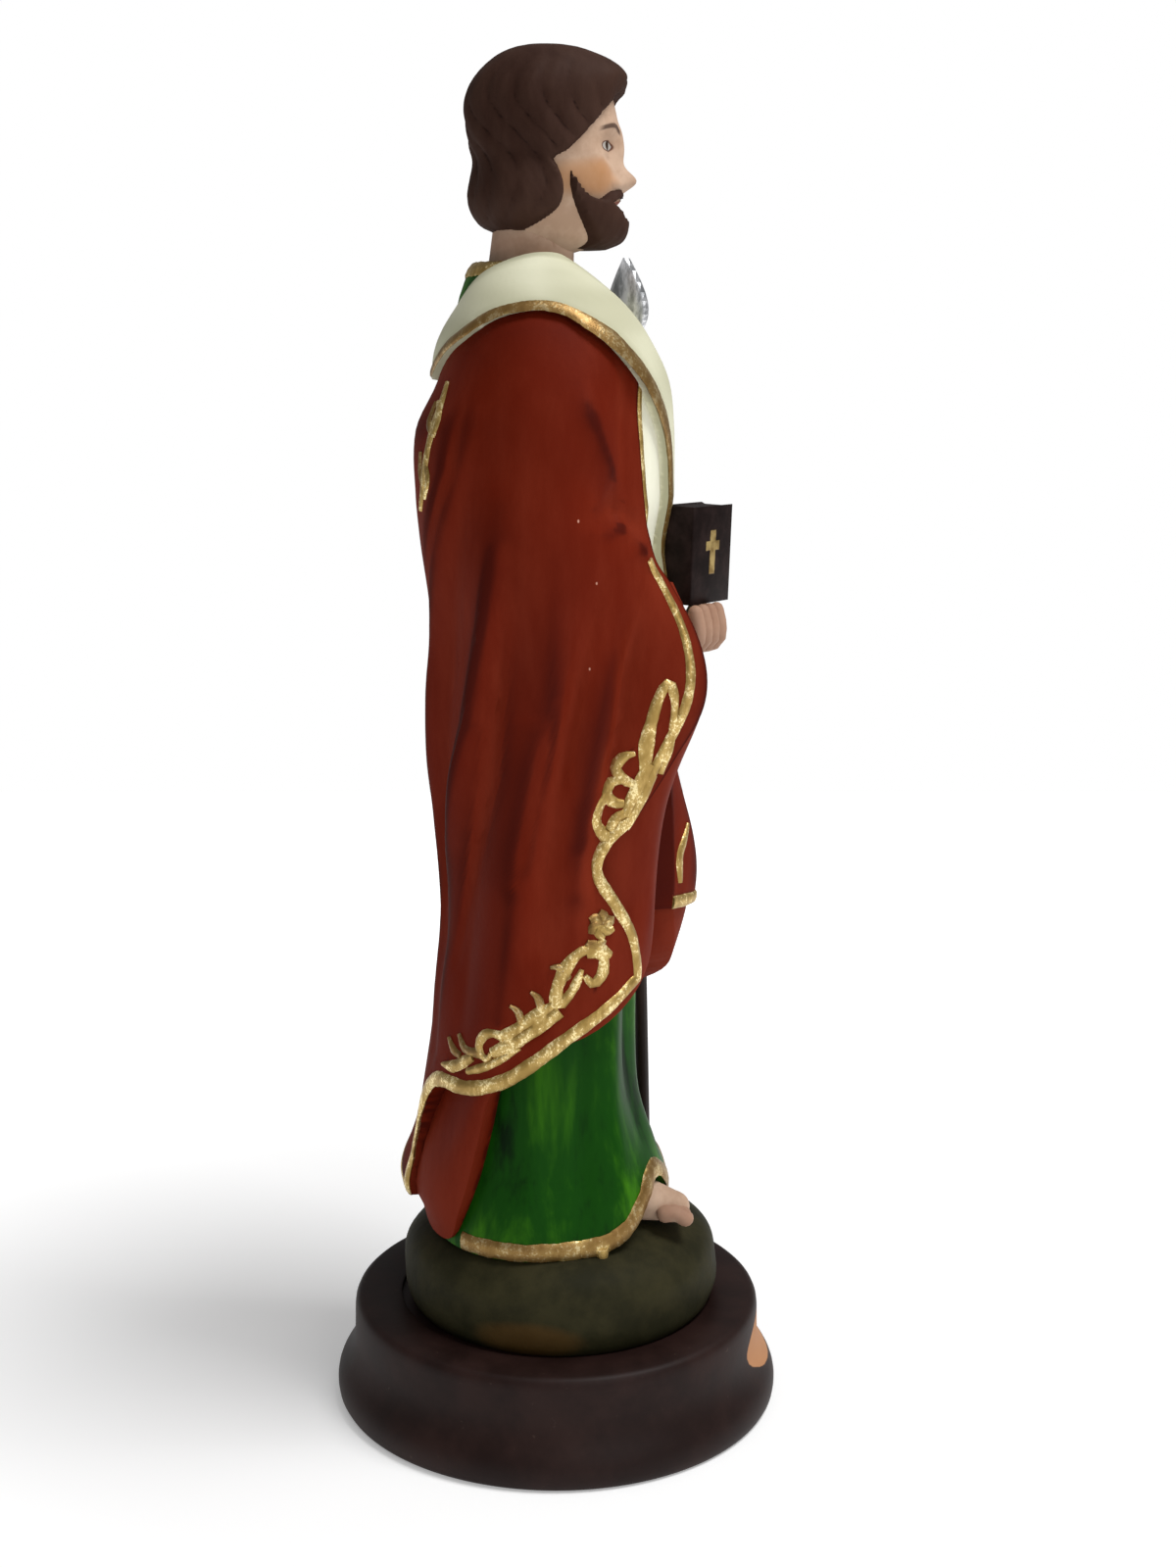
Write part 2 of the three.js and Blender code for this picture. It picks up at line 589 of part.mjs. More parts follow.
// Bare feet that show under the lifted hem, each with five toes.
function foot(side, angle, y) {
  const turn = angle * DEGREE;
  const x = side * 9.5;
  const ahead = (reach, across, z) => [
    x + reach * Math.sin(turn) + across * Math.cos(turn),
    y - reach * Math.cos(turn) + across * Math.sin(turn),
    z,
  ];
  const instep = limb(ahead(-6, 0, 50), ahead(6, 0, 47.4), 6, 3.4, 10);
  const toes = [0, 1, 2, 3, 4].map((i) => {
    const across = -side * (i - 2) * 2.1;
    const reach = 8.6 - 0.55 * i;
    return limb(ahead(4, across, 47.2), ahead(reach, across * 1.12, 46.7), 2, 1.9 - 0.1 * i);
  });
  return joined([instep, ...toes]);
}

// The mound: a round cushion of rock, widest below its middle.
const MOUND_POWER = 3;
const bellyHeight = MOUND_BELLY * MOUND_HEIGHT;
const footShare = (moundFootRadius / MOUND_RADIUS) ** MOUND_POWER;
const underHeight = bellyHeight / (1 - footShare) ** (1 / MOUND_POWER);
function moundTopAt(radius) {
  const share = Math.min(1, radius / MOUND_RADIUS) ** MOUND_POWER;
  const rise = (MOUND_HEIGHT - bellyHeight) * (1 - share) ** (1 / MOUND_POWER);
  return MOUND_FLOOR + bellyHeight + rise;
}
function mound() {
  const outline = [new THREE.Vector2(0, MOUND_FLOOR)];
  const steps = 3;
  for (let i = 0; i <= steps; i += 1) {
    const down = bellyHeight * (1 - i / steps);
    const share = (1 - (down / underHeight) ** MOUND_POWER) ** (1 / MOUND_POWER);
    outline.push(new THREE.Vector2(MOUND_RADIUS * share, MOUND_FLOOR + bellyHeight - down));
  }
  for (let i = 1; i <= 6; i += 1) {
    const turn = (i / 6) * 90 * DEGREE;
    const radius = MOUND_RADIUS * Math.cos(turn) ** (2 / MOUND_POWER);
    outline.push(new THREE.Vector2(i < 6 ? radius : 0, moundTopAt(i < 6 ? radius : 0)));
  }
  const shape = new THREE.LatheGeometry(outline, 28).rotateX(Math.PI / 2);
  return toSolid(shape.translate(0, -MOUND_FORWARD, 0));
}

// The line of the staff: it stands on the mound and passes through the fist.
const staffFootX = 25.5 * UNIT;
const staffFootY = -21.5 * UNIT;
const staffFoot = new THREE.Vector3(
  staffFootX,
  staffFootY,
  moundTopAt(Math.hypot(staffFootX, staffFootY + MOUND_FORWARD)) + FIT_GAP,
);
const staffAim = place(...FIST).sub(staffFoot);
const halberdLength = staffAim.length() + HALBERD_ABOVE_FIST;
const staffTurn = new THREE.Quaternion().setFromUnitVectors(
  new THREE.Vector3(0, 0, 1),
  staffAim.normalize(),
);
const onStaff = (geometry) =>
  toSolid(geometry.applyQuaternion(staffTurn).translate(...staffFoot.toArray()));

function staffRod(radius, from, to) {
  const rod = new THREE.CylinderGeometry(radius, radius, to - from, 12);
  return onStaff(rod.rotateX(Math.PI / 2).translate(0, 0, (from + to) / 2));
}

// The halberd's head, drawn upright: a leaf point, an axe blade on one side and a beak on the
// other, cut from one plate and fixed on a socket. Heights on the plate are shares of its
// length, counted down from the tip.
const HEAD_LENGTH = 36;
const HEAD_TURN = 48; // the axe blade points out to the left and back
const LEAF_HALF_WIDTH = 5.4;
const AXE_REACH = 11;
const BEAK_REACH = 7.5;
function halberdHead() {
  const tip = halberdLength;
  const down = (share) => tip - share * HEAD_LENGTH;
  const neck = STAFF_RADIUS + 0.6; // half width where the plate is narrow
  const plate = new THREE.Shape();
  plate.moveTo(0, tip);
  plate.quadraticCurveTo(LEAF_HALF_WIDTH, down(0.22), LEAF_HALF_WIDTH, down(0.32));
  plate.quadraticCurveTo(LEAF_HALF_WIDTH, down(0.42), neck, down(0.48));
  plate.lineTo(neck, down(0.55));
  plate.quadraticCurveTo(AXE_REACH * 0.6, down(0.55), AXE_REACH, down(0.47));
  plate.quadraticCurveTo(AXE_REACH * 1.2, down(0.67), AXE_REACH, down(0.86));
  plate.quadraticCurveTo(AXE_REACH * 0.6, down(0.78), neck, down(0.78));
  plate.lineTo(neck, down(1));
  plate.lineTo(-neck, down(1));
  plate.lineTo(-neck, down(0.75));
  plate.quadraticCurveTo(-BEAK_REACH * 0.7, down(0.72), -BEAK_REACH, down(0.8));
  plate.quadraticCurveTo(-BEAK_REACH * 0.8, down(0.58), -neck, down(0.55));
  plate.lineTo(-neck, down(0.48));
  plate.quadraticCurveTo(-LEAF_HALF_WIDTH, down(0.42), -LEAF_HALF_WIDTH, down(0.32));
  plate.quadraticCurveTo(-LEAF_HALF_WIDTH, down(0.22), 0, tip);
  const blade = new THREE.ExtrudeGeometry(plate, {
    depth: BLADE_THICKNESS,
    bevelEnabled: false,
    curveSegments: 5,
  });
  blade.translate(0, 0, -BLADE_THICKNESS / 2).rotateX(Math.PI / 2).rotateZ(HEAD_TURN * DEGREE);
  return onStaff(blade).add(staffRod(STAFF_RADIUS + SOCKET_WALL, down(1) - 3, down(0.75)));
}
const halberd = staffRod(STAFF_RADIUS, 0, halberdLength - HEAD_LENGTH).add(halberdHead());

// The bore through the fist and the channel that the staff lies in down the drapery.
const staffChannel = staffRod(STAFF_RADIUS + FIT_GAP, -FIT_GAP, halberdLength - HEAD_LENGTH);
const socketChannel = staffRod(
  STAFF_RADIUS + SOCKET_WALL + FIT_GAP,
  halberdLength - HEAD_LENGTH - 3 - FIT_GAP,
  halberdLength,
);

const figure = joined([
  mound(),
  tunic(),
  clothBlock(UNDERLAYER_EDGES, underlayerRadius, 30, 12),
  clothBlock(MANTLE_EDGES, mantleRadius, 38, 21),
  collar(),
  lapel(),
  head(),
  hair(),
  beard(),
  rightHand(),
  book(),
  leftHand(),
  foot(-1, -6, -21),
  foot(1, 14, -17),
])
  .subtract(staffChannel)
  .subtract(socketChannel);

// The plinth: turned, with a straight collar that sweeps out to a rounded foot.
function plinth() {
  const seat = moundFootRadius + SEAT_CLEARANCE;
  const spread = PLINTH_FOOT_RADIUS - PLINTH_TOP_RADIUS;
  const outline = [
    [0, 0],
    [PLINTH_FOOT_RADIUS - 1.6, 0],
    [PLINTH_FOOT_RADIUS - 0.4, 1.2],
    [PLINTH_FOOT_RADIUS, 3.4],
    [PLINTH_FOOT_RADIUS - 0.2 * spread, 6.4],
    [PLINTH_FOOT_RADIUS - 0.7 * spread, 10],
    [PLINTH_TOP_RADIUS, 14],
    [PLINTH_TOP_RADIUS, PLINTH_HEIGHT - 2],
    [PLINTH_TOP_RADIUS - 0.6, PLINTH_HEIGHT - 0.6],
    [PLINTH_TOP_RADIUS - 2, PLINTH_HEIGHT],
    [seat, PLINTH_HEIGHT],
    [seat, SEAT_FLOOR],
    [0, SEAT_FLOOR],
  ].map(([radius, height]) => new THREE.Vector2(radius, height));
  return new THREE.LatheGeometry(outline, 40).rotateX(Math.PI / 2);
}

function piece(name, geometry, color, roughness, metalness = 0) {
  const mesh = new THREE.Mesh(
    geometry,
    new THREE.MeshStandardMaterial({ color, roughness, metalness }),
  );
  mesh.name = name;
  return mesh;
}

const statue = new THREE.Group();
statue.add(
  piece("figure", toGeometry(figure), 0x6b2118, 0.6),
  piece("halberd", toGeometry(halberd), 0x2a1b1a, 0.55, 0.2),
  piece("plinth", plinth(), 0x241516, 0.6),
);

export default statue;
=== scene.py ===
import math

import bmesh
import bpy
import numpy as np
from mathutils import Euler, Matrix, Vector


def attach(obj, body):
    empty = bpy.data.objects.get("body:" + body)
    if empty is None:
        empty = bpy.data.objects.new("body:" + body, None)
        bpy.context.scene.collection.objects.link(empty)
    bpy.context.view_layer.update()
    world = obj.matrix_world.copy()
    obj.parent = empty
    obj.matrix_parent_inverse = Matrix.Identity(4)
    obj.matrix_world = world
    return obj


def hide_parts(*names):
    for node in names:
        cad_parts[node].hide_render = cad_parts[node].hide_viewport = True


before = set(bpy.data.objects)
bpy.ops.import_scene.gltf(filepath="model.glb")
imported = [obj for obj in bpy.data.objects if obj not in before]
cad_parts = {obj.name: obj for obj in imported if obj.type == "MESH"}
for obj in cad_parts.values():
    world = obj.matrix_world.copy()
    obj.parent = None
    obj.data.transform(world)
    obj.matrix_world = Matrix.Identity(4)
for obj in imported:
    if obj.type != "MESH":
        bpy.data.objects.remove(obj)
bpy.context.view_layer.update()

# Camera: close to the statue's right side and a little above its middle, looking slightly down.
camera = bpy.data.objects.new("camera", bpy.data.cameras.new("camera"))
bpy.context.scene.collection.objects.link(camera)
bpy.context.scene.camera = camera
LOOKING_DOWN = 11.17
camera.location = (-0.4348, 0, 0.2291)
camera.rotation_euler = (math.radians(90 - LOOKING_DOWN), 0, math.radians(-90))
camera.data.sensor_width = 36
camera.data.lens = 45.6
camera.data.shift_x = 0.0203
camera.data.clip_start = 0.01

# Figure, the paints: one hollow resin casting, painted by hand in matt acrylics over a white
# primer. Each colour has its own material, darkened in the hollows of the relief as painted shade.


class Value:
    """A shader value. Python's operators on it add Math nodes."""

    def __init__(self, tree, socket):
        self.tree, self.socket = tree, socket

    def math(self, operation, *others):
        node = self.tree.nodes.new("ShaderNodeMath")
        node.operation = operation
        for entry, value in zip(node.inputs, (self, *others)):
            if isinstance(value, Value):
                self.tree.links.new(value.socket, entry)
            else:
                entry.default_value = value
        return Value(self.tree, node.outputs[0])

    def __add__(self, other):
        return self.math("ADD", other)

    def __sub__(self, other):
        return self.math("SUBTRACT", other)

    def __mul__(self, other):
        return self.math("MULTIPLY", other)

    def __truediv__(self, other):
        return self.math("DIVIDE", other)

    def __pow__(self, other):
        return self.math("POWER", other)

    def __rsub__(self, other):
        return self * -1 + other

    __radd__ = __add__
    __rmul__ = __mul__

    def __abs__(self):
        return self.math("ABSOLUTE")

    def largest(self, other):
        return self.math("MAXIMUM", other)

    def step(self, low, high):
        """0 at low, 1 at high, smooth between."""
        node = self.tree.nodes.new("ShaderNodeMapRange")
        node.interpolation_type = "SMOOTHSTEP"
        node.inputs["From Min"].default_value = low
        node.inputs["From Max"].default_value = high
        self.tree.links.new(self.socket, node.inputs["Value"])
        return Value(self.tree, node.outputs["Result"])


class Paint:
    """A material with one Principled shader, and the nodes that feed it."""

    def __init__(self, name):
        self.material = bpy.data.materials.new(name)
        self.material.use_nodes = True
        self.tree = self.material.node_tree
        self.shader = self.tree.nodes["Principled BSDF"]
        self.place = self.node("ShaderNodeTexCoord", "Object")

    def node(self, kind, output, settings=None, **entries):
        node = self.tree.nodes.new(kind)
        for key, value in (settings or {}).items():
            setattr(node, key, value)
        for key, value in entries.items():
            self.feed(node.inputs[key.replace("_", " ")], value)
        return Value(self.tree, node.outputs[output])

    def feed(self, entry, value):
        if isinstance(value, Value):
            self.tree.links.new(value.socket, entry)
        elif entry.type == "RGBA":
            entry.default_value = (*value, 1)
        else:
            entry.default_value = value

    def set(self, **entries):
        for key, value in entries.items():
            self.feed(self.shader.inputs[key.replace("_", " ")], value)

    def axes(self):
        """The place on the object in millimetres, one value for each axis."""
        node = self.tree.nodes.new("ShaderNodeSeparateXYZ")
        self.tree.links.new(self.place.socket, node.inputs[0])
        return [Value(self.tree, output) * 1000 for output in node.outputs]

    def noise(self, scale, detail=4.0, roughness=0.55, stretch=(1, 1, 1), distortion=0.0):
        node = self.tree.nodes.new("ShaderNodeVectorMath")
        node.operation = "MULTIPLY"
        self.tree.links.new(self.place.socket, node.inputs[0])
        node.inputs[1].default_value = stretch
        return self.node(
            "ShaderNodeTexNoise",
            "Fac",
            Vector=Value(self.tree, node.outputs[0]),
            Scale=scale,
            Detail=detail,
            Roughness=roughness,
            Distortion=distortion,
        )

    def relief(self, name):
        return self.node("ShaderNodeAttribute", "Fac", {"attribute_name": name})

    def mix(self, first, second, factor):
        node = self.tree.nodes.new("ShaderNodeMix")
        node.data_type = "RGBA"
        for number, value in ((0, factor), (6, first), (7, second)):
            self.feed(node.inputs[number], value)
        return Value(self.tree, node.outputs[2])

    def bump(self, height, distance, strength=1.0):
        normal = self.node(
            "ShaderNodeBump", "Normal", Height=height, Distance=distance, Strength=strength
        )
        self.set(Normal=normal)


def brushed_paint(name, deep, middle, light, roughness, streak, grain, fold_shade=0.7):
    """Matt paint brushed on in two tones, with painted shade in hollows and creases and painted light
    on ridges.
    """
    paint = Paint(name)
    hollow, cavity = paint.relief("hollow"), paint.relief("cavity")
    broad = paint.noise(34, 3, 0.5, streak)
    brush = paint.noise(260, 5, 0.62, streak)
    # The lighter tone comes from random brush tone and also falls on ridges as painted light.
    tone = paint.mix(middle, light, (broad * 0.8 + brush * 0.45 - hollow * 0.12).step(0.42, 0.9))
    # Painted shade: the deep tone fills the broad hollows of folds and the fine creases.
    tone = paint.mix(tone, deep, (hollow * 0.6 + broad * 0.4 - 0.15).step(0.0, 1.2) * fold_shade)
    tone = paint.mix(tone, deep, cavity.step(0.25, 1.5) * 0.75)
    paint.set(Base_Color=tone, Roughness=roughness + broad * 0.12 - 0.06)
    paint.bump(paint.noise(900, 4, 0.6) + brush * 0.8, grain, 0.5)
    return paint, tone


red_paint, tone = brushed_paint(
    "red_paint",
    (0.046, 0.0035, 0.0015),
    (0.126, 0.0095, 0.0018),
    (0.18, 0.021, 0.0075),
    0.66,
    (1, 1, 0.3),
    0.0001,
    0.6,
)
# A few pale chips show the primer through the red on the right side.
CHIPS = ((-38, -4.4, 203.9), (-35.5, -6.8, 173.9), (-35.8, -8.1, 191.4))
x, y, z = red_paint.axes()
for chip in CHIPS:
    far = ((x - chip[0]) * 0.3) ** 2 + ((y - chip[1]) * 1.6) ** 2 + (z - chip[2]) ** 2
    tone = red_paint.mix(tone, (0.5, 0.25, 0.18), far.step(0.16, 0.06))
red_paint.set(Base_Color=tone, Specular_IOR_Level=0.05)
cream_paint, _ = brushed_paint(
    "cream_paint",
    (0.43, 0.42, 0.28),
    (0.76, 0.75, 0.57),
    (0.86, 0.85, 0.7),
    0.6,
    (1, 1, 0.5),
    0.0001,
    0.25,
)
cream_paint.set(Specular_IOR_Level=0.06)

# The green is a thin glaze over the white primer, so it streaks from near black to bright.
# It is also a little darker in the hollows of folds and lighter on their ridges: painted shade and
# painted light.
green_paint = Paint("green_paint")
pooled = green_paint.noise(52, 5, 0.64, (1, 1, 0.3), 0.9)
dragged = green_paint.noise(190, 4, 0.6, (1, 1, 0.16))
glaze_and_shade = pooled * 0.8 + dragged * 0.36 - green_paint.relief("hollow") * 0.06
tone = green_paint.mix((0.0006, 0.012, 0.0007), (0.004, 0.052, 0.0008), glaze_and_shade.step(0.42, 0.57))
tone = green_paint.mix(tone, (0.04, 0.17, 0.003), glaze_and_shade.step(0.57, 0.82))
green_paint.set(Base_Color=tone, Roughness=0.45, Specular_IOR_Level=0.07)
green_paint.bump(dragged, 0.00008, 0.5)

# Bronze-gold paint, put on thickly with a small brush. Its sparkle is painted glints, and it is darker
# in its hollows and where it meets the cloth: painted shade.
gold_paint = Paint("gold_paint")
strokes = gold_paint.noise(330, 4, 0.6, (1, 1, 0.6), 0.4)
sparkle = gold_paint.noise(1700, 2, 0.7)
tone = gold_paint.mix((0.34, 0.215, 0.055), (0.58, 0.4, 0.135), strokes.step(0.34, 0.62))
# Painted glints: specks of near-white gold in the colour.
tone = gold_paint.mix(tone, (1.0, 0.84, 0.45), (sparkle * strokes).step(0.27, 0.34) * 0.9)
# Painted shade in the hollows of the relief and along the edges against the cloth.
tone = gold_paint.mix(tone, (0.16, 0.075, 0.02), gold_paint.relief("cavity").step(0.3, 1.6) * 0.7)
gold_paint.set(Base_Color=tone, Metallic=0.7, Roughness=0.33 + sparkle * 0.2)
gold_paint.bump(sparkle + strokes * 0.5, 0.00012, 0.8)

# Flesh, with an airbrushed orange blush on the cheeks, painted eyes, brows and lips.
# Places on the face are given across from its middle and up from the plinth's underside.
EYE = (5.1, 279.1)
CHEEK = (8.6, 272.6)
LIPS_HEIGHT = 267.3
BROW = (5.4, 283.1)
skin_paint = Paint("skin_paint")
x, y, z = skin_paint.axes()
across = abs(x)
facing = (y * -1).step(3, 6)
mottle = skin_paint.noise(160, 4, 0.6)
tone = skin_paint.mix((0.44, 0.29, 0.2), (0.54, 0.375, 0.27), mottle.step(0.35, 0.65))
# Painted shade darkens the creases and hollows of the flesh.
cavity = skin_paint.relief("cavity")
tone = skin_paint.mix(tone, (0.25, 0.1, 0.055), cavity.step(0.2, 1.6) * 0.5)
cheek = ((across - CHEEK[0]) / 4.4) ** 2 + ((z - CHEEK[1]) / 3.6) ** 2
tone = skin_paint.mix(tone, (0.45, 0.185, 0.045), (1 - cheek).step(-0.7, 0.8) * z.step(255, 262) * 0.6)
lips = (across / 3.5) ** 2 + ((z - LIPS_HEIGHT) / 1.25) ** 2
tone = skin_paint.mix(tone, (0.27, 0.07, 0.05), (1 - lips).step(-0.1, 0.25) * facing * 0.85)
eye = ((across - EYE[0]) / 2.25) ** 2 + ((z - EYE[1]) / 1.0) ** 2
tone = skin_paint.mix(tone, (0.11, 0.045, 0.028), (1 - eye).step(-0.55, -0.1) * facing)
tone = skin_paint.mix(tone, (0.42, 0.39, 0.35), (1 - eye).step(0.02, 0.2) * facing)
iris = ((across - EYE[0]) ** 2 + (z - EYE[1] - 0.15) ** 2) ** 0.5
inside = (1 - eye).step(0.0, 0.12) * facing
tone = skin_paint.mix(tone, (0.04, 0.019, 0.009), (1.15 - iris).step(-0.08, 0.08) * inside)
tone = skin_paint.mix(tone, (0.004, 0.003, 0.003), (0.5 - iris).step(-0.08, 0.08) * inside)
arch = z - BROW[1] + (across - 5.6) ** 2 * 0.075
brow = (0.5 - abs(arch)).step(-0.2, 0.25) * (3.9 - abs(across - BROW[0])).step(-0.4, 0.9) * facing
tone = skin_paint.mix(tone, (0.05, 0.024, 0.017), brow * 0.85)
skin_paint.set(Base_Color=tone, Roughness=0.5 + mottle * 0.1, Specular_IOR_Level=0.12)
skin_paint.bump(skin_paint.noise(1100, 3), 0.00005, 0.5)

hair_paint, _ = brushed_paint(
    "hair_paint",
    (0.011, 0.0042, 0.003),
    (0.029, 0.0118, 0.0078),
    (0.054, 0.027, 0.019),
    0.66,
    (1, 1, 0.4),
    0.00012,
)
hair_paint.set(Specular_IOR_Level=0.06)

# The mound is dark olive rock, sponged, with an ochre touch low on its right.
mound_paint = Paint("mound_paint")
x, y, z = mound_paint.axes()
sponge = mound_paint.noise(95, 5, 0.62)
tone = mound_paint.mix((0.017, 0.016, 0.0065), (0.034, 0.03, 0.0125), sponge.step(0.34, 0.7))
patch = ((y - 6) / 13) ** 2 + ((z - 26.5) / 5) ** 2
ochre = (1.1 - patch + sponge * 0.5).step(0.2, 1.1) * (x * -1).step(10, 24)
tone = mound_paint.mix(tone, (0.11, 0.05, 0.01), ochre * 0.45)
mound_paint.set(Base_Color=tone, Roughness=0.55 + sponge * 0.2, Specular_IOR_Level=0.08)
mound_paint.bump(sponge + mound_paint.noise(420, 4) * 0.4, 0.0004, 0.6)

# Figure, the robes: the casting follows soft folds, drawn as sections round an upright axis.
# An angle runs from the front (0) by the right side (90), the back (180) and the left (270).
AXIS_Y = 3.0
TUNIC = [
    (38, 27.5, 27.5, 25), (44, 28, 28.5, 25), (53, 26.5, 28.2, 24), (60, 25, 25.5, 23),
    (75, 23.5, 20.6, 21), (98, 22.5, 19.8, 20), (130, 22, 20.5, 19), (160, 21.5, 21.5, 19),
    (190, 23, 22, 20), (215, 27, 24, 21), (235, 27, 22, 20.5), (245, 22, 16, 18.5),
    (252, 15, 9, 16.5), (257, 10.5, 6, 13.5),
]
MANTLE = [
    (44, 29.5, 26, 28), (52, 31, 26, 30.6), (67, 32, 26, 28.2), (84, 33, 27, 25.3),
    (98, 33.5, 27, 23.7), (116, 34, 27.5, 22), (139, 35, 28, 23.3), (152, 36, 28, 24.7),
    (165, 37, 28, 24.8), (180, 38, 27, 24), (198, 38.5, 26, 26.5), (208, 38, 26, 27.5),
    (221, 37, 26, 27.2), (231, 35, 25, 22.4), (240, 31.5, 21, 19.5), (246, 26.5, 17, 17),
    (251, 20, 12, 15), (256, 12.5, 6, 12.5),
]
MANTLE_SWELLS = [
    (32, 170, 11.5, 18, 22), (96, 192, 2, 26, 20), (88, 222, 1.5, 24, 18),
    (326, 176, 5, 15, 22), (329, 118, 12, 13, 27), (264, 192, 2, 26, 20), (186, 50, 2.2, 16, 9),
]
MANTLE_FOLDS = [
    ([(112, 234), (124, 212), (134, 198), (146, 170), (156, 110), (162, 62)], 2, 4.8),
    ([(108, 226), (118, 200), (128, 170), (142, 130), (150, 86)], -2.2, 4.6),
    ([(102, 206), (108, 184), (117, 162), (134, 136), (144, 106), (148, 84)], 1.9, 4),
    ([(98, 196), (102, 180), (107, 160), (113, 142), (124, 110), (128, 88)], -1.9, 4.4),
    ([(86, 196), (87, 163), (93, 147), (100, 128), (106, 98)], 1.7, 4.6),
    ([(70, 198), (74, 182), (81, 162), (86, 146), (91, 116)], -2.1, 4.2),
    ([(64, 184), (71, 162), (75, 146), (78, 126)], 1, 4),
    ([(52, 192), (58, 178), (62, 160), (67, 147), (71, 134), (70, 122)], -2.5, 3.8),
    ([(58, 236), (61, 216), (64, 206)], -3, 5),
    ([(52, 197), (60, 205), (72, 208)], -2.4, 3.8),
    ([(172, 216), (176, 150), (172, 60)], -2, 7),
    ([(190, 222), (190, 150), (186, 56)], 1.8, 7),
    ([(206, 226), (208, 150), (200, 70)], -2, 7),
    ([(226, 226), (226, 160), (216, 90)], 1.8, 7),
    ([(244, 210), (246, 150), (238, 96)], -2, 6.3),
    ([(262, 196), (266, 150), (258, 100)], 1.6, 6.3),
    ([(284, 190), (288, 150), (282, 108)], -2, 5.6),
    ([(302, 186), (306, 150), (308, 112)], -1.6, 4.9),
]
MANTLE_CREASES = [
    ([(115, 230), (121, 213), (134, 197), (144, 184)], -1, 1.6),
    ([(105, 198), (109, 183), (117, 162), (135, 138), (146, 118)], 1.1, 1.5),
    ([(110, 198), (114, 183), (123, 162), (140, 138), (150, 118)], -1.2, 2.4),
    ([(100, 198), (105, 171), (108, 150), (121, 127), (133, 108)], -1.1, 1.6),
    ([(86, 167), (93, 147), (99, 129)], -1, 1.6),
    ([(77, 179), (81, 163), (84, 150)], -1, 1.6),
    ([(54, 187), (60.5, 172), (63, 159), (67, 149)], -1.2, 1.6),
    ([(78, 230), (70, 218), (60.3, 207)], 1.4, 2.4),
    ([(60, 205.4), (67, 204), (75, 203.5)], -1, 1.9),
    ([(66, 203.7), (56, 200.5), (50, 195)], 1.2, 1.8),
]
TUNIC_FOLDS = [
    ([(350, 205), (352, 120), (350, 60)], -1.6, 4.5),
    ([(8, 200), (6, 120), (8, 62)], 1.4, 4.5),
    ([(24, 190), (22, 120), (26, 66)], -1.5, 4.2),
    ([(44, 120), (46, 90), (52, 50)], 1.3, 5),
    ([(66, 110), (68, 80), (72, 46)], -1.4, 5),
    ([(92, 100), (94, 70), (98, 46)], 1.3, 5),
    ([(334, 110), (330, 80), (326, 50)], 1.3, 5),
    ([(308, 110), (304, 80), (300, 46)], -1.4, 5),
    ([(284, 100), (278, 70), (274, 46)], 1.3, 5),
]
MANTLE_EDGES = {
    "top": [
        (45, 238), (58, 244), (75, 249), (95, 250), (120, 246), (150, 240), (180, 236),
        (210, 240), (240, 246), (265, 250), (285, 249), (302, 244), (315, 238),
    ],
    "right": [
        (45, 238), (51, 228), (51, 217), (49, 206), (46, 196), (40, 190), (36, 182), (35, 172),
        (36, 163), (40, 155), (45, 148), (54, 141.5), (64, 136), (67, 130.5), (60, 123.5),
        (51.5, 115.5), (48, 106),
    ],
    "bottom": [
        (48, 106), (54, 103.2), (66, 98.8), (79, 94), (92, 88.2), (104, 83.6), (120, 80.5),
        (140, 79.5), (152, 76), (160, 68), (166, 58), (170, 49), (180, 46.5), (190, 49),
        (198, 58), (206, 70), (218, 80), (236, 88), (254, 93.5), (272, 99), (288, 104),
        (304, 108), (320, 110.5), (334, 111.5), (345, 112.5),
    ],
    "left": [
        (315, 238), (308, 228), (306, 218), (303, 208), (300, 199), (303, 192), (315, 187),
        (327, 181), (335, 172), (340, 160), (343, 146), (345, 132), (345, 122), (345, 112.5),
    ],
}
UNDERLAYER_EDGES = {
    "top": [(34, 190), (90, 190), (180, 190), (270, 190), (326, 190)],
    "right": [(34, 190), (30, 172), (28, 150), (27, 136), (28, 124), (29, 114)],
    "bottom": [
        (29, 114), (32, 109), (38, 105.5), (50, 101), (70, 95), (90, 91), (104, 86.5), (112, 80),
        (117, 70), (122, 60), (128, 51), (136, 44), (150, 42.5), (180, 42), (210, 42.5),
        (224, 44), (231, 52), (238, 62), (246, 74), (262, 81), (285, 85), (305, 89), (322, 93),
        (332, 98), (338, 105), (341, 112),
    ],
    "left": [(326, 190), (334, 170), (338, 150), (341, 130), (341, 112)],
}
LAPEL_EDGES = {
    "top": [(36, 238), (54, 238)],
    "right": [(36, 238), (32, 228), (22, 210), (18, 196), (18, 186)],
    "bottom": [(18, 186), (50, 186)],
    "left": [(54, 238), (54, 228), (52, 210), (50, 196), (50, 186)],
}
COLLAR_INNER = [
    (8, 188), (8, 206), (9, 222), (14, 236), (30, 248), (60, 255.5), (100, 256.5), (132, 253),
    (155, 246), (180, 241.5), (205, 246), (228, 253), (260, 256.5), (300, 255.5), (330, 248),
    (346, 236), (351, 222), (352, 206), (352, 188),
]
COLLAR_OUTER = [
    (23, 186), (24, 204), (28, 216), (44, 226.6), (54, 233), (68, 239.6), (84, 244.4), (105, 243.6),
    (130, 238), (180, 231.2), (230, 238), (255, 243.6), (276, 244.4), (292, 239.6),
    (306, 233), (316, 226.6), (332, 216), (336, 204), (337, 186),
]
CLOTH_CORE = 9.0  # every cloth reaches in to this radius, inside the casting
UNROLLED = 32.0  # the robes' mean radius, at which folds and trims are measured
SQUARENESS = 2.3  # a section is an ellipse at 2, and squarer above it


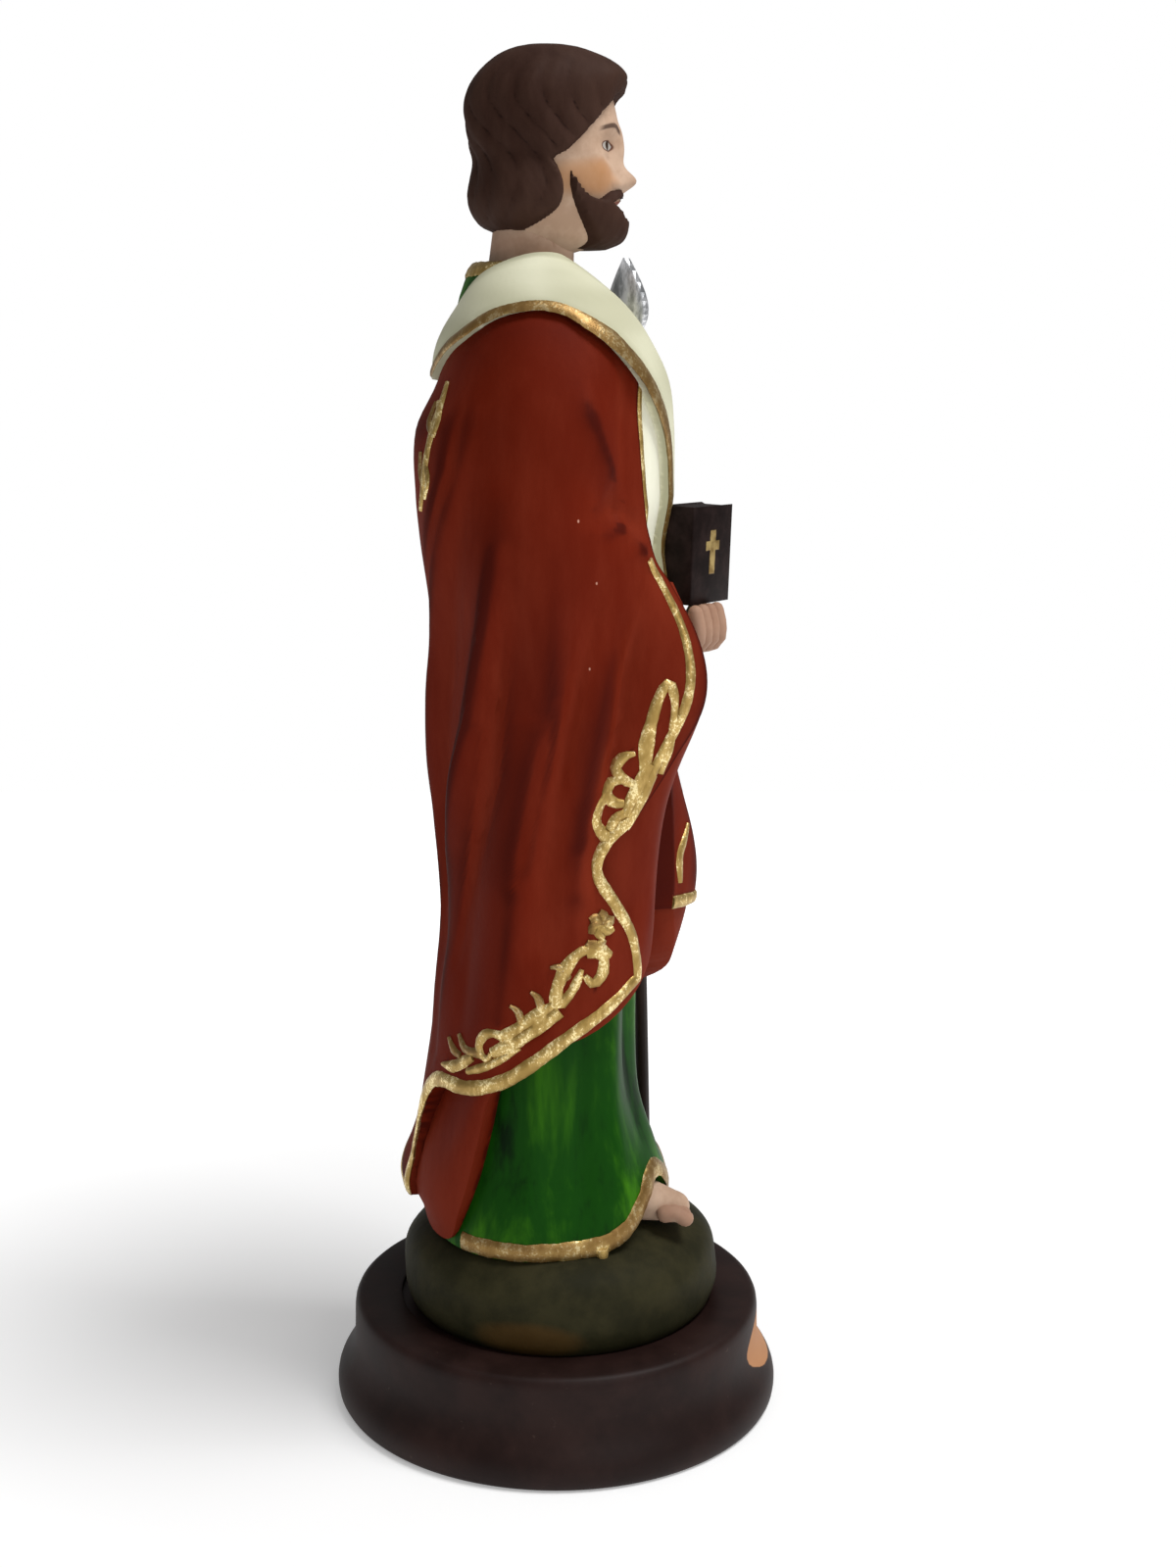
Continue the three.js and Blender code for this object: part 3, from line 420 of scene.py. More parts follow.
def look_up(rows, at):
    """Smooth interpolation of rows that start with the value they are looked up by."""
    rows = np.array(sorted(rows), float)
    key, value = rows[:, 0], rows[:, 1:]
    number = np.arange(len(rows))
    before, after = np.maximum(number - 1, 0), np.minimum(number + 1, len(rows) - 1)
    slope = (value[after] - value[before]) / (key[after] - key[before])[:, None]
    at = np.clip(at, key[0], key[-1])
    i = np.clip(np.searchsorted(key, at, side="right") - 1, 0, len(rows) - 2)
    span = (key[i + 1] - key[i])[..., None]
    t = (at - key[i])[..., None] / span
    return (
        (2 * t**3 - 3 * t**2 + 1) * value[i]
        + (t**3 - 2 * t**2 + t) * span * slope[i]
        + (3 * t**2 - 2 * t**3) * value[i + 1]
        + (t**3 - t**2) * span * slope[i + 1]
    )


def along(path, share):
    count = len(path) - 1
    return look_up([(i / count, *point) for i, point in enumerate(path)], share)


def turn_between(a, b):
    return (a - b + 180) % 360 - 180


def smoothstep(value, low, high):
    t = np.clip((value - low) / (high - low), 0, 1)
    return t * t * (3 - 2 * t)


def section_radius(rows, angle, height):
    half, front, back = np.moveaxis(look_up(rows, height), -1, 0)
    turn = np.radians(angle)
    reach = np.where(np.cos(turn) > 0, front, back)
    across, deep = np.abs(np.sin(turn)) / half, np.abs(np.cos(turn)) / reach
    return (across**SQUARENESS + deep**SQUARENESS) ** (-1 / SQUARENESS)


def swell(rows, angle, height):
    return sum(
        out * np.exp(-((turn_between(angle, at) / wide) ** 2) - ((height - level) / tall) ** 2)
        for at, level, out, wide, tall in rows
    )


def folds(rows, angle, height):
    """Ridges and valleys along paths, measured on the cloth unrolled."""
    side = math.radians(UNROLLED)
    total = 0
    for path, out, wide in rows:
        nearest, travel = np.full(np.shape(angle), np.inf), np.zeros(np.shape(angle))
        for i, ((a0, h0), (a1, h1)) in enumerate(zip(path, path[1:])):
            run = ((a1 - a0) * side, h1 - h0)
            to = (turn_between(angle, a0) * side, height - h0)
            share = np.clip((run[0] * to[0] + run[1] * to[1]) / (run[0] ** 2 + run[1] ** 2), 0, 1)
            away = np.hypot(to[0] - share * run[0], to[1] - share * run[1])
            travel = np.where(away < nearest, (i + share) / (len(path) - 1), travel)
            nearest = np.minimum(nearest, away)
        fade = (0.15 + 0.85 * smoothstep(travel, 0, 0.3)) * (1 - 0.5 * smoothstep(travel, 0.8, 1))
        total = total + out * fade * np.exp(-((nearest / wide) ** 1.5))
    return total


def mantle_radius(angle, height, *_):
    return (
        section_radius(MANTLE, angle, height)
        + swell(MANTLE_SWELLS, angle, height)
        + folds(MANTLE_FOLDS + MANTLE_CREASES, angle, height)
    )


def tunic_radius(angle, height):
    return section_radius(TUNIC, angle, height) + folds(TUNIC_FOLDS, angle, height)


def underlayer_radius(angle, height, s, t):
    """Away from its own edges the under layer sinks deeper, where nothing of it shows."""
    side = smoothstep(np.minimum(s, 1 - s), 0.04, 0.16)
    hidden = side * (1 - smoothstep(t, 0.7, 0.9))
    radius = mantle_radius(angle, height) - 1.6 - 3 * hidden
    return np.maximum(radius, tunic_radius(angle, height) + 0.8 - 4 * hidden)


def round_axis(angle, radius, height, axis_y=AXIS_Y):
    turn = np.radians(angle)
    return np.stack([-np.sin(turn) * radius, axis_y - np.cos(turn) * radius, height], -1)


def to_object(name, mesh, places, paint):
    """Puts each vertex at its place, given in millimetres, and makes an object of the mesh."""
    for vert, place in zip(mesh.verts, places):
        vert.co = place * 0.001
    bmesh.ops.recalc_face_normals(mesh, faces=mesh.faces)
    data = bpy.data.meshes.new(name)
    mesh.to_mesh(data)
    mesh.free()
    data.materials.append(paint.material)
    made = bpy.data.objects.new(name, data)
    bpy.context.scene.collection.objects.link(made)
    return made


def block(columns, rows):
    """A slab of cloth before it is draped: its two shares, and which vertices lie outside."""
    mesh = bmesh.new()
    bmesh.ops.create_grid(mesh, x_segments=columns, y_segments=rows, size=0.5)
    inner = bmesh.ops.extrude_face_region(mesh, geom=mesh.faces[:])["geom"]
    inner = [v for v in inner if isinstance(v, bmesh.types.BMVert)]
    bmesh.ops.translate(mesh, verts=inner, vec=(0, 0, -1))
    flat = np.array([v.co for v in mesh.verts])
    return mesh, flat[:, 0] + 0.5, flat[:, 1] + 0.5, flat[:, 2] > -0.5


def cloth(name, edges, radius_at, columns, rows, paint):
    """A block of cloth between four edges that reaches in to a core inside the casting."""
    mesh, s, t, outer = block(columns, rows)
    above, before, below, after = (
        along(edges[key], share)
        for key, share in (("top", s), ("right", t), ("bottom", s), ("left", t))
    )
    a, b, c, d = (
        np.array(edges[key][i], float)
        for key, i in (("top", 0), ("top", -1), ("bottom", 0), ("bottom", -1))
    )
    s2, t2 = s[:, None], t[:, None]
    corners = (1 - t2) * ((1 - s2) * a + s2 * b) + t2 * ((1 - s2) * c + s2 * d)
    place = (1 - t2) * above + t2 * below + (1 - s2) * before + s2 * after - corners
    angle, height = place.T
    radius = np.where(outer, radius_at(angle, height, s, t), CLOTH_CORE)
    return to_object(name, mesh, round_axis(angle, radius, height), paint)


def round_form(sides, rings):
    """A closed ball, and each vertex's turn round it and ring number from below."""
    mesh = bmesh.new()
    bmesh.ops.create_uvsphere(mesh, u_segments=sides, v_segments=rings, radius=1)
    flat = np.array([v.co for v in mesh.verts])
    turn = np.degrees(np.arctan2(-flat[:, 0], -flat[:, 1]))
    return mesh, turn, np.round(np.arccos(np.clip(-flat[:, 2], -1, 1)) / math.pi * rings)


def column(name, low, high, radius_at, sides, rings, paint, axis_y=AXIS_Y, finer=0.0):
    """A closed upright column. low depends on the angle, and its facets crowd the front."""
    mesh, turn, ring = round_form(sides, rings)
    turn = turn - finer * np.degrees(np.sin(np.radians(turn)))
    share = np.clip((ring - 1) / (rings - 2), 0, 1)
    height = low(turn) + (high - low(turn)) * share
    rim = (ring > 0) & (ring < rings)
    radius = np.where(rim, radius_at(turn, height), 0)
    return to_object(name, mesh, round_axis(turn, radius, height, axis_y), paint)


def hem_height(angle):
    return 42 + swell([(24, 0, 13, 23, 1), (334, 0, 9, 18, 1)], angle, 0)


def collar_radius(angle, height, crown=1.65):
    """The collar lies over the mantle, but dips where its ends run down behind the book."""
    dip = 2.6 * (1 - smoothstep(height, 194, 208))
    under = section_radius(MANTLE, angle, height) + swell(MANTLE_SWELLS[1:], angle, height)
    return under + 0.4 * swell(MANTLE_SWELLS[:1], angle, height) + crown - dip


def lapel_radius(angle, height, *_):
    return np.minimum(collar_radius(angle, height, -0.5), mantle_radius(angle, height) - 0.6)


def collar():
    mesh, s, t, outer = block(150, 9)
    t = t[:, None]
    angle, height = ((1 - t) * along(COLLAR_INNER, s) + t * along(COLLAR_OUTER, s)).T
    crown = 2.4 * (0.55 + 0.45 * np.sin(math.pi * t[:, 0]))
    radius = np.where(outer, collar_radius(angle, height, crown), CLOTH_CORE)
    places = round_axis(angle, radius, height + np.where(outer, 0.4 * crown, -2))
    return to_object("collar", mesh, places, cream_paint)


def egg(name, centre, half, turned, paint, sides=28, rings=20):
    mesh, _, _ = round_form(sides, rings)
    turn = Euler([math.radians(a) for a in turned]).to_matrix()
    places = [
        Vector(centre) + turn @ Vector(c * h for c, h in zip(v.co, half)) for v in mesh.verts
    ]
    return to_object(name, mesh, places, paint)


robes = [
    egg("core", (0, 2, 48), (23, 21.5, 20), (0, 0, 0), green_paint, 40, 26),
    column("tunic", hem_height, 255.6, tunic_radius, 104, 66, green_paint),
    cloth("underlayer", UNDERLAYER_EDGES, underlayer_radius, 96, 40, red_paint),
    cloth("mantle", MANTLE_EDGES, mantle_radius, 176, 104, red_paint),
    cloth("lapel", LAPEL_EDGES, lapel_radius, 12, 26, cream_paint),
    collar(),
]

# Figure, the mound: a rounded cushion of rock, cast in one with the robes.
SOLES = 44.5
MOUND = {"floor": 22.7, "radius": 36.5, "foot": 34, "belly": 30.984}


def mound():
    rings = 34
    mesh, turn, ring = round_form(96, rings)
    share = np.clip((ring - 1) / (rings - 2), 0, 1)
    height = MOUND["floor"] + (SOLES - MOUND["floor"]) * np.sin(share * math.pi / 2)
    down = MOUND["belly"] - MOUND["floor"]
    under = down / (1 - (MOUND["foot"] / MOUND["radius"]) ** 3) ** (1 / 3)
    up = SOLES - MOUND["belly"]
    part = (height - MOUND["belly"]) / np.where(height > MOUND["belly"], up, under)
    radius = MOUND["radius"] * np.maximum(1 - np.abs(part) ** 3, 0) ** (1 / 3)
    lumps = 0.3 * np.sin(np.radians(turn * 5 + 40)) * np.sin(height * 0.5)
    radius = radius + (lumps - 0.3) * np.minimum(1, radius / 20) * smoothstep(height, 23.5, 27)
    radius = np.where(ring == rings - 1, 4, np.where((ring > 0) & (ring < rings), radius, 0))
    return to_object("saint", mesh, round_axis(turn, radius, height, -1), mound_paint)


# Figure, the head: calm, regular features, a cap of waved hair over the ears, a short beard.
HEAD_Y = 2.5
SKULL = [
    (258, 6, 6, 5), (260, 8, 12, 7.5), (263, 9.6, 13.6, 9.5), (267, 10.8, 14.2, 11),
    (272, 11.8, 14.6, 13), (277, 12.4, 14.6, 14.5), (282, 12.7, 15, 15.3),
    (287, 12.4, 14.8, 15.4), (291, 11.4, 13.4, 14.4), (295, 8.6, 10, 11.4), (298, 3.6, 4.2, 5),
]
FEATURES = [
    (0, 278.5, 2.2, 9, 4.6), (0, 272.4, 4.4, 9, 2.5), (0, 267.4, 1.1, 12, 2.2),
    (0, 261.8, 1.6, 16, 2.6), (0, 267.35, -0.6, 11, 0.4), (0, 268.4, 0.35, 9, 0.6),
    (0, 266.3, 0.45, 8, 0.7),
]
for side in (-1, 1):
    FEATURES += [
        (13 * side, 271.4, 1.3, 6, 1.5), (22 * side, 282.6, 1.1, 15, 1.6),
        (21 * side, 279.2, -2.6, 11, 2.7), (22 * side, 279, 1.9, 7.5, 1.7),
        (40 * side, 274, 0.8, 14, 4), (22 * side, 280.6, 0.45, 9, 0.6),
        (22 * side, 277.6, 0.3, 8, 0.6), (17 * side, 271.2, -0.5, 3, 0.8),
    ]
HAIR = [
    (262, 9, 8, 10.5), (263.4, 12, 9, 13.4), (266, 14.4, 9.6, 15.2), (269, 15.2, 11, 16),
    (273, 14.6, 13, 15.6), (276.5, 13.9, 13.8, 15.2), (280, 14.5, 14.8, 16.2),
    (284, 14.9, 15.2, 16.8), (288, 15, 16, 16.8), (291, 14.5, 17.2, 15.9),
    (293.5, 13.2, 17.6, 14.4), (296, 11, 15, 12), (298, 8.6, 10.6, 9), (299.4, 4.6, 6, 5),
    (300, 0.1, 0.1, 0.1),
]
HAIRLINE = [
    (262, 112), (264.5, 90), (267, 75), (271, 72), (274.5, 77), (276, 80), (277.5, 68),
    (281, 52), (285, 38), (288.5, 22), (291, 0), (292, -40),
]
BEARD = [
    (258.6, 5, 13, 3), (259.8, 8, 16, 3.4), (261.5, 9.8, 17.4, 4), (264.5, 11.6, 17.8, 5),
    (268, 12.4, 17, 5), (271, 12.8, 16.2, 5), (275, 13, 14, 5),
]
BEARD_TOP = [
    (0, 265.2), (12, 265.6), (20, 267.4), (34, 268.4), (48, 269.4), (58, 272), (66, 274.4),
    (90, 275),
]
BEARD_BACK = [(257, 26), (260, 34), (263, 46), (266, 56), (270, 65), (275, 68)]


def face_radius(angle, height):
    return section_radius(SKULL, angle, height) + swell(FEATURES, angle, height)


def hair_radius(angle, height):
    """Soft waves swing down and back from a parting, over fine strands."""
    edge = look_up(HAIRLINE, height)[..., 0]
    out = smoothstep(np.abs(turn_between(angle, 0)) - edge, -4, 4)
    swing = np.sin((height - 255) / 7)
    wave = np.sin(np.radians(angle * 6) + 2.6 * swing)
    lock = np.abs(np.sin(np.radians(angle * 8) + 3.4 * np.sin((height - 262) / 6))) ** 0.6 - 0.6
    strand = np.sin(np.radians(angle * 45) + 15 * swing)
    crown = 1 - smoothstep(height, 291, 298.5)
    relief = (0.34 * wave + 0.5 * lock + 0.06 * strand - 0.25) * crown
    full = section_radius(HAIR, angle, height)
    return 0.72 * full + out * (0.28 * full + relief)


def beard_radius(angle, height):
    turn = np.abs(turn_between(angle, 0))
    jaw = smoothstep(look_up(BEARD_TOP, turn)[..., 0] - height, -0.8, 0.8)
    droop = 270.1 - 0.0026 * turn**2
    moustache = smoothstep(1.2 - np.abs(height - droop), -0.5, 0.5) * smoothstep(36 - turn, -3, 3)
    back = look_up(BEARD_BACK, height)[..., 0]
    out = np.maximum(jaw, moustache) * smoothstep(back - turn, -4, 4)
    strands = 0.12 * np.sin(np.radians(angle * 44) + 2 * np.sin(height * 0.5))
    full = section_radius(BEARD, angle, height)
    return full * (0.6 + 0.4 * out) + strands * out


def limb(name, points, radii, paint, sides=14, step=1.0):
    """A tube through points with round ends, its radius given at each point."""
    points = np.array(points, float)
    length = np.concatenate([[0], np.cumsum(np.linalg.norm(np.diff(points, axis=0), axis=1))])
    share, whole = length / length[-1], length[-1]
    rings = max(10, int((whole + radii[0] + radii[-1]) / step))
    mesh, turn, ring = round_form(sides, rings)
    travel = (whole + radii[0] + radii[-1]) * (1 - np.cos(ring / rings * math.pi)) / 2 - radii[0]
    at = np.clip(travel / whole, 0, 1)
    found = look_up([(s, *p, r) for s, p, r in zip(share, points, radii)], at)
    ahead = look_up([(s, *p) for s, p in zip(share, points)], np.minimum(at + 0.01, 1))
    back = look_up([(s, *p) for s, p in zip(share, points)], np.maximum(at - 0.01, 0))
    ahead = (ahead - back) / np.linalg.norm(ahead - back, axis=1)[:, None]
    past = np.where(travel < 0, travel, np.maximum(travel - whole, 0))
    width = found[:, 3] * np.sqrt(np.clip(1 - (past / found[:, 3]) ** 2, 0, 1))
    rise = abs(points[-1][2] - points[0][2])
    side = np.cross(ahead, (0, 0, 1) if rise < 3 else (1, 0, 0))
    side /= np.linalg.norm(side, axis=1)[:, None]
    up = np.cross(side, ahead)
    angle = np.radians(turn)[:, None]
    places = found[:, :3] + ahead * past[:, None]
    places += width[:, None] * (side * np.sin(angle) + up * np.cos(angle))
    return to_object(name, mesh, places, paint)


head = [
    column("head", lambda a: 258, 298, face_radius, 88, 84, skin_paint, HEAD_Y, 0.5),
    limb("neck", [(0, 6, 246), (0, 4.5, 266)], (9.6, 8.4), skin_paint, 36),
    column("hair", lambda a: 262, 300, hair_radius, 144, 76, hair_paint, HEAD_Y),
    column("beard", lambda a: 258.6, 275, beard_radius, 96, 42, hair_paint, HEAD_Y, 0.45),
]

# Figure, hands, book and feet: the right hand carries the book, the left closes on the staff.
BOOK_CORNER = Vector((-14, -28.5, 184.4))
BOOK_TURN = math.radians(-35)
BOOK_SIZE = (16, 8, 21)
book_along = Vector((math.cos(BOOK_TURN), math.sin(BOOK_TURN), 0))
book_ahead = Vector((book_along.y, -book_along.x, 0))
book_paint = Paint("book_paint")
x, y, z = book_paint.axes()
run = (x - BOOK_CORNER.x) * book_along.x + (y - BOOK_CORNER.y) * book_along.y
depth = (x - BOOK_CORNER.x) * -book_ahead.x + (y - BOOK_CORNER.y) * -book_ahead.y
level = z - BOOK_CORNER.z
ragged = (book_paint.noise(500, 3) - 0.5) * 0.5
upright = (1.1 + ragged - abs(run - 8.2)).step(-0.12, 0.12) * (4.6 - abs(level - 11)).step(-0.2, 0.2)
bar = (2.7 - abs(run - 8.2)).step(-0.2, 0.2) * (0.95 + ragged - abs(level - 12.4)).step(-0.12, 0.12)
cross = upright.largest(bar) * (1.0 - depth).step(0, 0.4)
scuffed = book_paint.noise(190, 4, 0.6)
leather = book_paint.mix((0.0075, 0.0035, 0.003), (0.021, 0.0115, 0.0105), scuffed.step(0.35, 0.7))
gilt = book_paint.mix((0.3, 0.19, 0.06), (0.62, 0.45, 0.18), scuffed.step(0.4, 0.6))
book_paint.set(Base_Color=book_paint.mix(leather, gilt, cross))
book_paint.set(Metallic=cross * 0.7, Roughness=0.5 - cross * 0.1, Specular_IOR_Level=0.08)
book_paint.bump(scuffed + cross * 1.2, 0.00015, 0.6)


def book():
    """Two boards and a spine round a block of leaves that lies a little inside them."""
    mesh = bmesh.new()
    bmesh.ops.create_cube(mesh, size=1)
    bmesh.ops.translate(mesh, vec=(0.5, 0.5, 0.5), verts=mesh.verts)
    bmesh.ops.scale(mesh, vec=BOOK_SIZE, verts=mesh.verts)
    leaves = [f for f in mesh.faces if abs(f.normal.z) > 0.5 or f.normal.x > 0.5]
    bmesh.ops.inset_region(mesh, faces=leaves, thickness=1.1, depth=-0.6, use_boundary=True)
    edges = [e for e in mesh.edges if e.calc_length() > 3]
    bmesh.ops.bevel(
        mesh, geom=edges, affect="EDGES", offset=0.3, segments=2, profile=0.5, material=-1
    )
    turn = Euler((math.radians(2), 0, BOOK_TURN)).to_matrix()
    return to_object("book", mesh, [BOOK_CORNER + turn @ v.co for v in mesh.verts], book_paint)


hands = [
    book(),
    egg("palm", (-9, -27, 178), (7.6, 6, 5), (0, 0, -35), skin_paint),
    limb("wrist", [(-22, -8, 183), (-13, -24.5, 178.6)], (6, 5.2), skin_paint, 24),
    limb("thumb", [(-3.5, -27, 178), (-1, -30, 181), (0.5, -31.5, 184.6)], (2.2, 2, 1.8), skin_paint),
    egg("left_palm", (27.5, -16, 197), (5.4, 5, 6.2), (0, 0, -30), skin_paint),
    limb("left_wrist", [(31, 4, 190), (28.5, -13.5, 195.5)], (8, 5), skin_paint, 24),
    limb("left_thumb", [(25.4, -18.5, 200), (28.4, -21.9, 203.4)], (1.9, 1.6), skin_paint),
]
for i in range(4):
    knuckle = Vector((-14.5, -28.5, 0)) + book_along * 2.9 * i
    bends = [
        knuckle + book_ahead * reach + Vector((0, 0, z))
        for reach, z in ((-3, 175.4), (1.2, 176.6), (1.9, 179.6), (1.2, 183.2))
    ]
    hands.append(limb("finger", bends, (2, 1.85, 1.75, 1.6), skin_paint))
    z = 201.4 - 2.9 * i
    bends = [(32.4, -16.5, z), (31.6, -20.4, z - 0.1), (27.4, -21.7, z - 0.2)]
    hands.append(limb("left_finger", bends, (1.9, 1.85, 1.7), skin_paint))


def foot(side, turned, y):
    turn = math.radians(turned)

    def ahead(reach, across, z):
        return (
            side * 9.5 + reach * math.sin(turn) + across * math.cos(turn),
            y - reach * math.cos(turn) + across * math.sin(turn),
            z,
        )

    made = [limb("instep", [ahead(-6, 0, 50), ahead(6, 0, 47.4)], (6, 3.4), skin_paint, 28)]
    for i in range(5):
        across, reach = -side * (i - 2) * 2.1, 8.6 - 0.55 * i
        bends = [
            ahead(4, across, 47.2),
            ahead(0.6 * reach + 1.6, across * 1.06, 47.5),
            ahead(reach, across * 1.12, 46.6),
        ]
        made.append(limb("toe", bends, (2, 1.9 - 0.1 * i, 1.9 - 0.1 * i), skin_paint))
    return made


# Figure, the gold: raised borders and leaf scrolls, cast with the cloth and brushed with gold.


def strip(path, width, rise, radius_at, inset=0.0, step=1.0):
    """A flat rounded band on a robe along a path of (angle, height), width given along it."""
    side = math.radians(UNROLLED)
    dense = along(path, np.linspace(0, 1, 40 * len(path))) * (side, 1)
    length = np.concatenate([[0], np.cumsum(np.linalg.norm(np.diff(dense, axis=0), axis=1))])
    count = max(7, int(length[-1] / step))
    even = np.linspace(0, length[-1], count)
    line = np.stack([np.interp(even, length, dense[:, k]) for k in (0, 1)], 1)
    ahead = np.gradient(line, axis=0)
    ahead /= np.linalg.norm(ahead, axis=1)[:, None]
    u, v = (line + inset * np.stack([-ahead[:, 1], ahead[:, 0]], 1)).T

    def on_robe(u, v):
        return round_axis(u / side, radius_at(u / side, v), v)

    spots = on_robe(u, v)
    normals = np.cross(
        on_robe(u, v + 0.6) - on_robe(u, v - 0.6), on_robe(u + 0.6, v) - on_robe(u - 0.6, v)
    )
    normals /= np.linalg.norm(normals, axis=1)[:, None]
    across = np.cross(np.gradient(spots, axis=0), normals)
    across /= np.linalg.norm(across, axis=1)[:, None]
    half = np.interp(np.linspace(0, 1, count), np.linspace(0, 1, len(width)), width) / 2
    half *= 1 + 0.04 * np.sin(even * 0.9 + path[0][0]) + 0.03 * np.sin(even * 2.3)
    mesh, turn, ring = round_form(8, count + 1)
    i = np.clip(ring.astype(int) - 1, 0, count - 1)
    rim = ((ring > 0) & (ring < count + 1))[:, None]
    angle = np.radians(turn)[:, None]
    flat = across[i] * half[i][:, None] * np.sin(angle) + normals[i] * rise * np.cos(angle)
    return to_object("gold", mesh, spots[i] + rim * flat, gold_paint)


SCROLLS = [
    ([(67, 116), (70, 114.5), (74, 115.8)], (1, 2.6, 1)),
    ([(74, 113), (69, 113.6), (64.5, 112.4)], (1.2, 2.8, 1.4)),
    ([(70, 114.2), (76, 113.8), (81, 110.8), (84.6, 106), (84.6, 101.8)], (1.6, 1.8, 2.4, 2, 2.6)),
    ([(67, 112.6), (67.6, 108.6), (71.4, 106.6), (74.6, 108.6)], (1.8, 2.2, 2, 0.9)),
    ([(75.6, 110), (78, 106.6), (80.6, 104.2), (83.4, 102.6)], (0.8, 1.7, 1.6, 2)),
    ([(86, 102.4), (92, 100), (98, 97.6), (104, 95)], (1.4, 2.6, 1.8, 2.4)),
    ([(83.6, 101), (90, 98.2), (96, 95.4), (103, 92.8), (109, 91)], (2.2, 2.6, 2, 2.8, 1.8)),
    ([(104, 95), (108, 95.6), (112, 94.8), (114.8, 92.4), (113.6, 90), (110.6, 89.4), (109.4, 91)],
     (2, 1.5, 1.7, 1.8, 1.6, 1.3, 0.8)),
    ([(114, 90.4), (119, 90), (124, 90.2), (128, 92.6)], (2, 1.5, 1.8, 0.7)),
    ([(118, 89), (124, 87), (131, 85), (139, 84.4)], (1.4, 2.2, 2.2, 0.8)),
    ([(90, 101), (91.4, 104), (94, 105.4)], (1.4, 1.5, 0.6)),
    ([(97, 98), (98.6, 101), (101.4, 102.2)], (1.4, 1.4, 0.6)),
    ([(80.6, 108), (83.6, 110.6), (87, 110.6)], (1.4, 1.5, 0.6)),
    ([(126, 88), (131, 88.4), (135, 91)], (1.2, 1.7, 0.7)),
    ([(98, 92.8), (105, 90), (112, 87.6), (121, 85.4)], (0.8, 1.4, 1.6, 1.2)),
    ([(52, 151.4), (52.6, 157), (51.6, 162.3), (50, 167), (47.4, 170), (45.6, 167), (45, 161),
      (44.4, 155.6), (46, 150.6)], (2.1, 2.8, 2.2, 1.8, 1.8, 1.3, 1.3, 1.5, 1.6)),
    ([(50.8, 153), (54, 148.7), (57, 145.4), (59, 142)], (2, 2.7, 2.4, 1.4)),
    ([(48.2, 150.4), (51.4, 146.4), (55, 142.8), (59, 139.6)], (1.2, 2.1, 1.9, 1.6)),
    ([(56.4, 155.4), (60, 154.8), (62.6, 152.4), (60.4, 150.2), (57, 149)], (0.8, 1.8, 2, 1.8, 1.4)),
    ([(60, 150), (64, 149.6), (66, 147), (63.4, 145.2), (60, 144.8)], (1.4, 1.9, 2, 2, 1.4)),
    ([(65, 148), (68.6, 144.6), (70, 141.4), (67.4, 138.8), (64.4, 137)], (1, 1.9, 2.2, 2.2, 2.4)),
    ([(58.6, 142.8), (62.4, 142), (65, 139.4)], (1.4, 1.8, 1.6)),
    ([(336, 131), (339, 127.5), (341.6, 124), (341.4, 118)], (0.8, 1.8, 2.2, 1)),
]
LEAF = [
    ([(132, 231), (131, 224), (134, 217.5), (137.5, 211.5), (141, 205)], (1, 2.4, 1.8, 2.6, 1.2)),
    ([(134, 227), (129.4, 224), (130.4, 220)], (0.9, 1.7, 0.9)),
    ([(136, 215), (132.4, 211.6), (134.4, 207.6)], (0.9, 1.7, 0.9)),
    ([(138, 210), (141.8, 212.6), (141, 217)], (0.9, 1.6, 0.9)),
    ([(133, 221), (136.8, 223), (136.6, 227)], (0.9, 1.5, 0.8)),
]
for path, width in LEAF:
    SCROLLS += [(path, width), ([(360 - angle, height) for angle, height in path], width)]
ROSETTE = np.array((68, 119.2))
PETALS = 6
for k in range(PETALS):
    turn = k * math.tau / PETALS + 0.4
    tip = ROSETTE + (5 * math.cos(turn), 2.8 * math.sin(turn))
    mid = ROSETTE + (3.2 * math.cos(turn + 0.6), 1.8 * math.sin(turn + 0.6))
    SCROLLS.append(([ROSETTE, mid, tip], (1.4, 1.7, 1.1)))

SCROLL_WIDENING = 1.3
SCROLL_RISE = 0.6
gold = [
    strip(path, np.array(width) * SCROLL_WIDENING, SCROLL_RISE, mantle_radius)
    for path, width in SCROLLS
]
front_edge = [
    (48, 196), (42.5, 190.5), (38.8, 182.5), (38.6, 172), (40.5, 163), (44, 155.5), (48, 148.8),
]
front_edge += MANTLE_EDGES["right"][11:] + MANTLE_EDGES["bottom"][1:]
neckband = [(a, 254.3) for a in range(50, 311, 20)]
hem_line = [(a, hem_height(a) + 2.1) for a in range(-130, 131, 10)]
lapel_line = [(43.4, 236), (49, 228), (49.6, 217), (47.6, 206), (44.6, 196), (40, 191)]
gold += [
    strip(front_edge, (1.6, 2.4, 2.6, 2.6, 3.2, 3.4, 3.2, 3, 3, 3, 3), 0.65, mantle_radius, 1.3),
    strip(MANTLE_EDGES["left"][4:9], (2, 3, 3, 1.5), 0.65, mantle_radius, -1.5),
    strip(COLLAR_OUTER, (2.4, 3.4, 5.2, 2.4, 1.6, 2.4, 5.2, 3.4, 2.4), 0.65, collar_radius, 1.6),
    strip(lapel_line, (1.2, 1.6, 1.4), 0.5, lapel_radius),
    strip(neckband, (3.6, 3.8, 3.6), 0.6, tunic_radius),
    strip(hem_line, (4, 4.4, 4), 0.6, tunic_radius),
    strip([(63, 44), (62.6, 41), (63, 38.6)], (3, 2.4, 1.6), 0.9, tunic_radius),
]


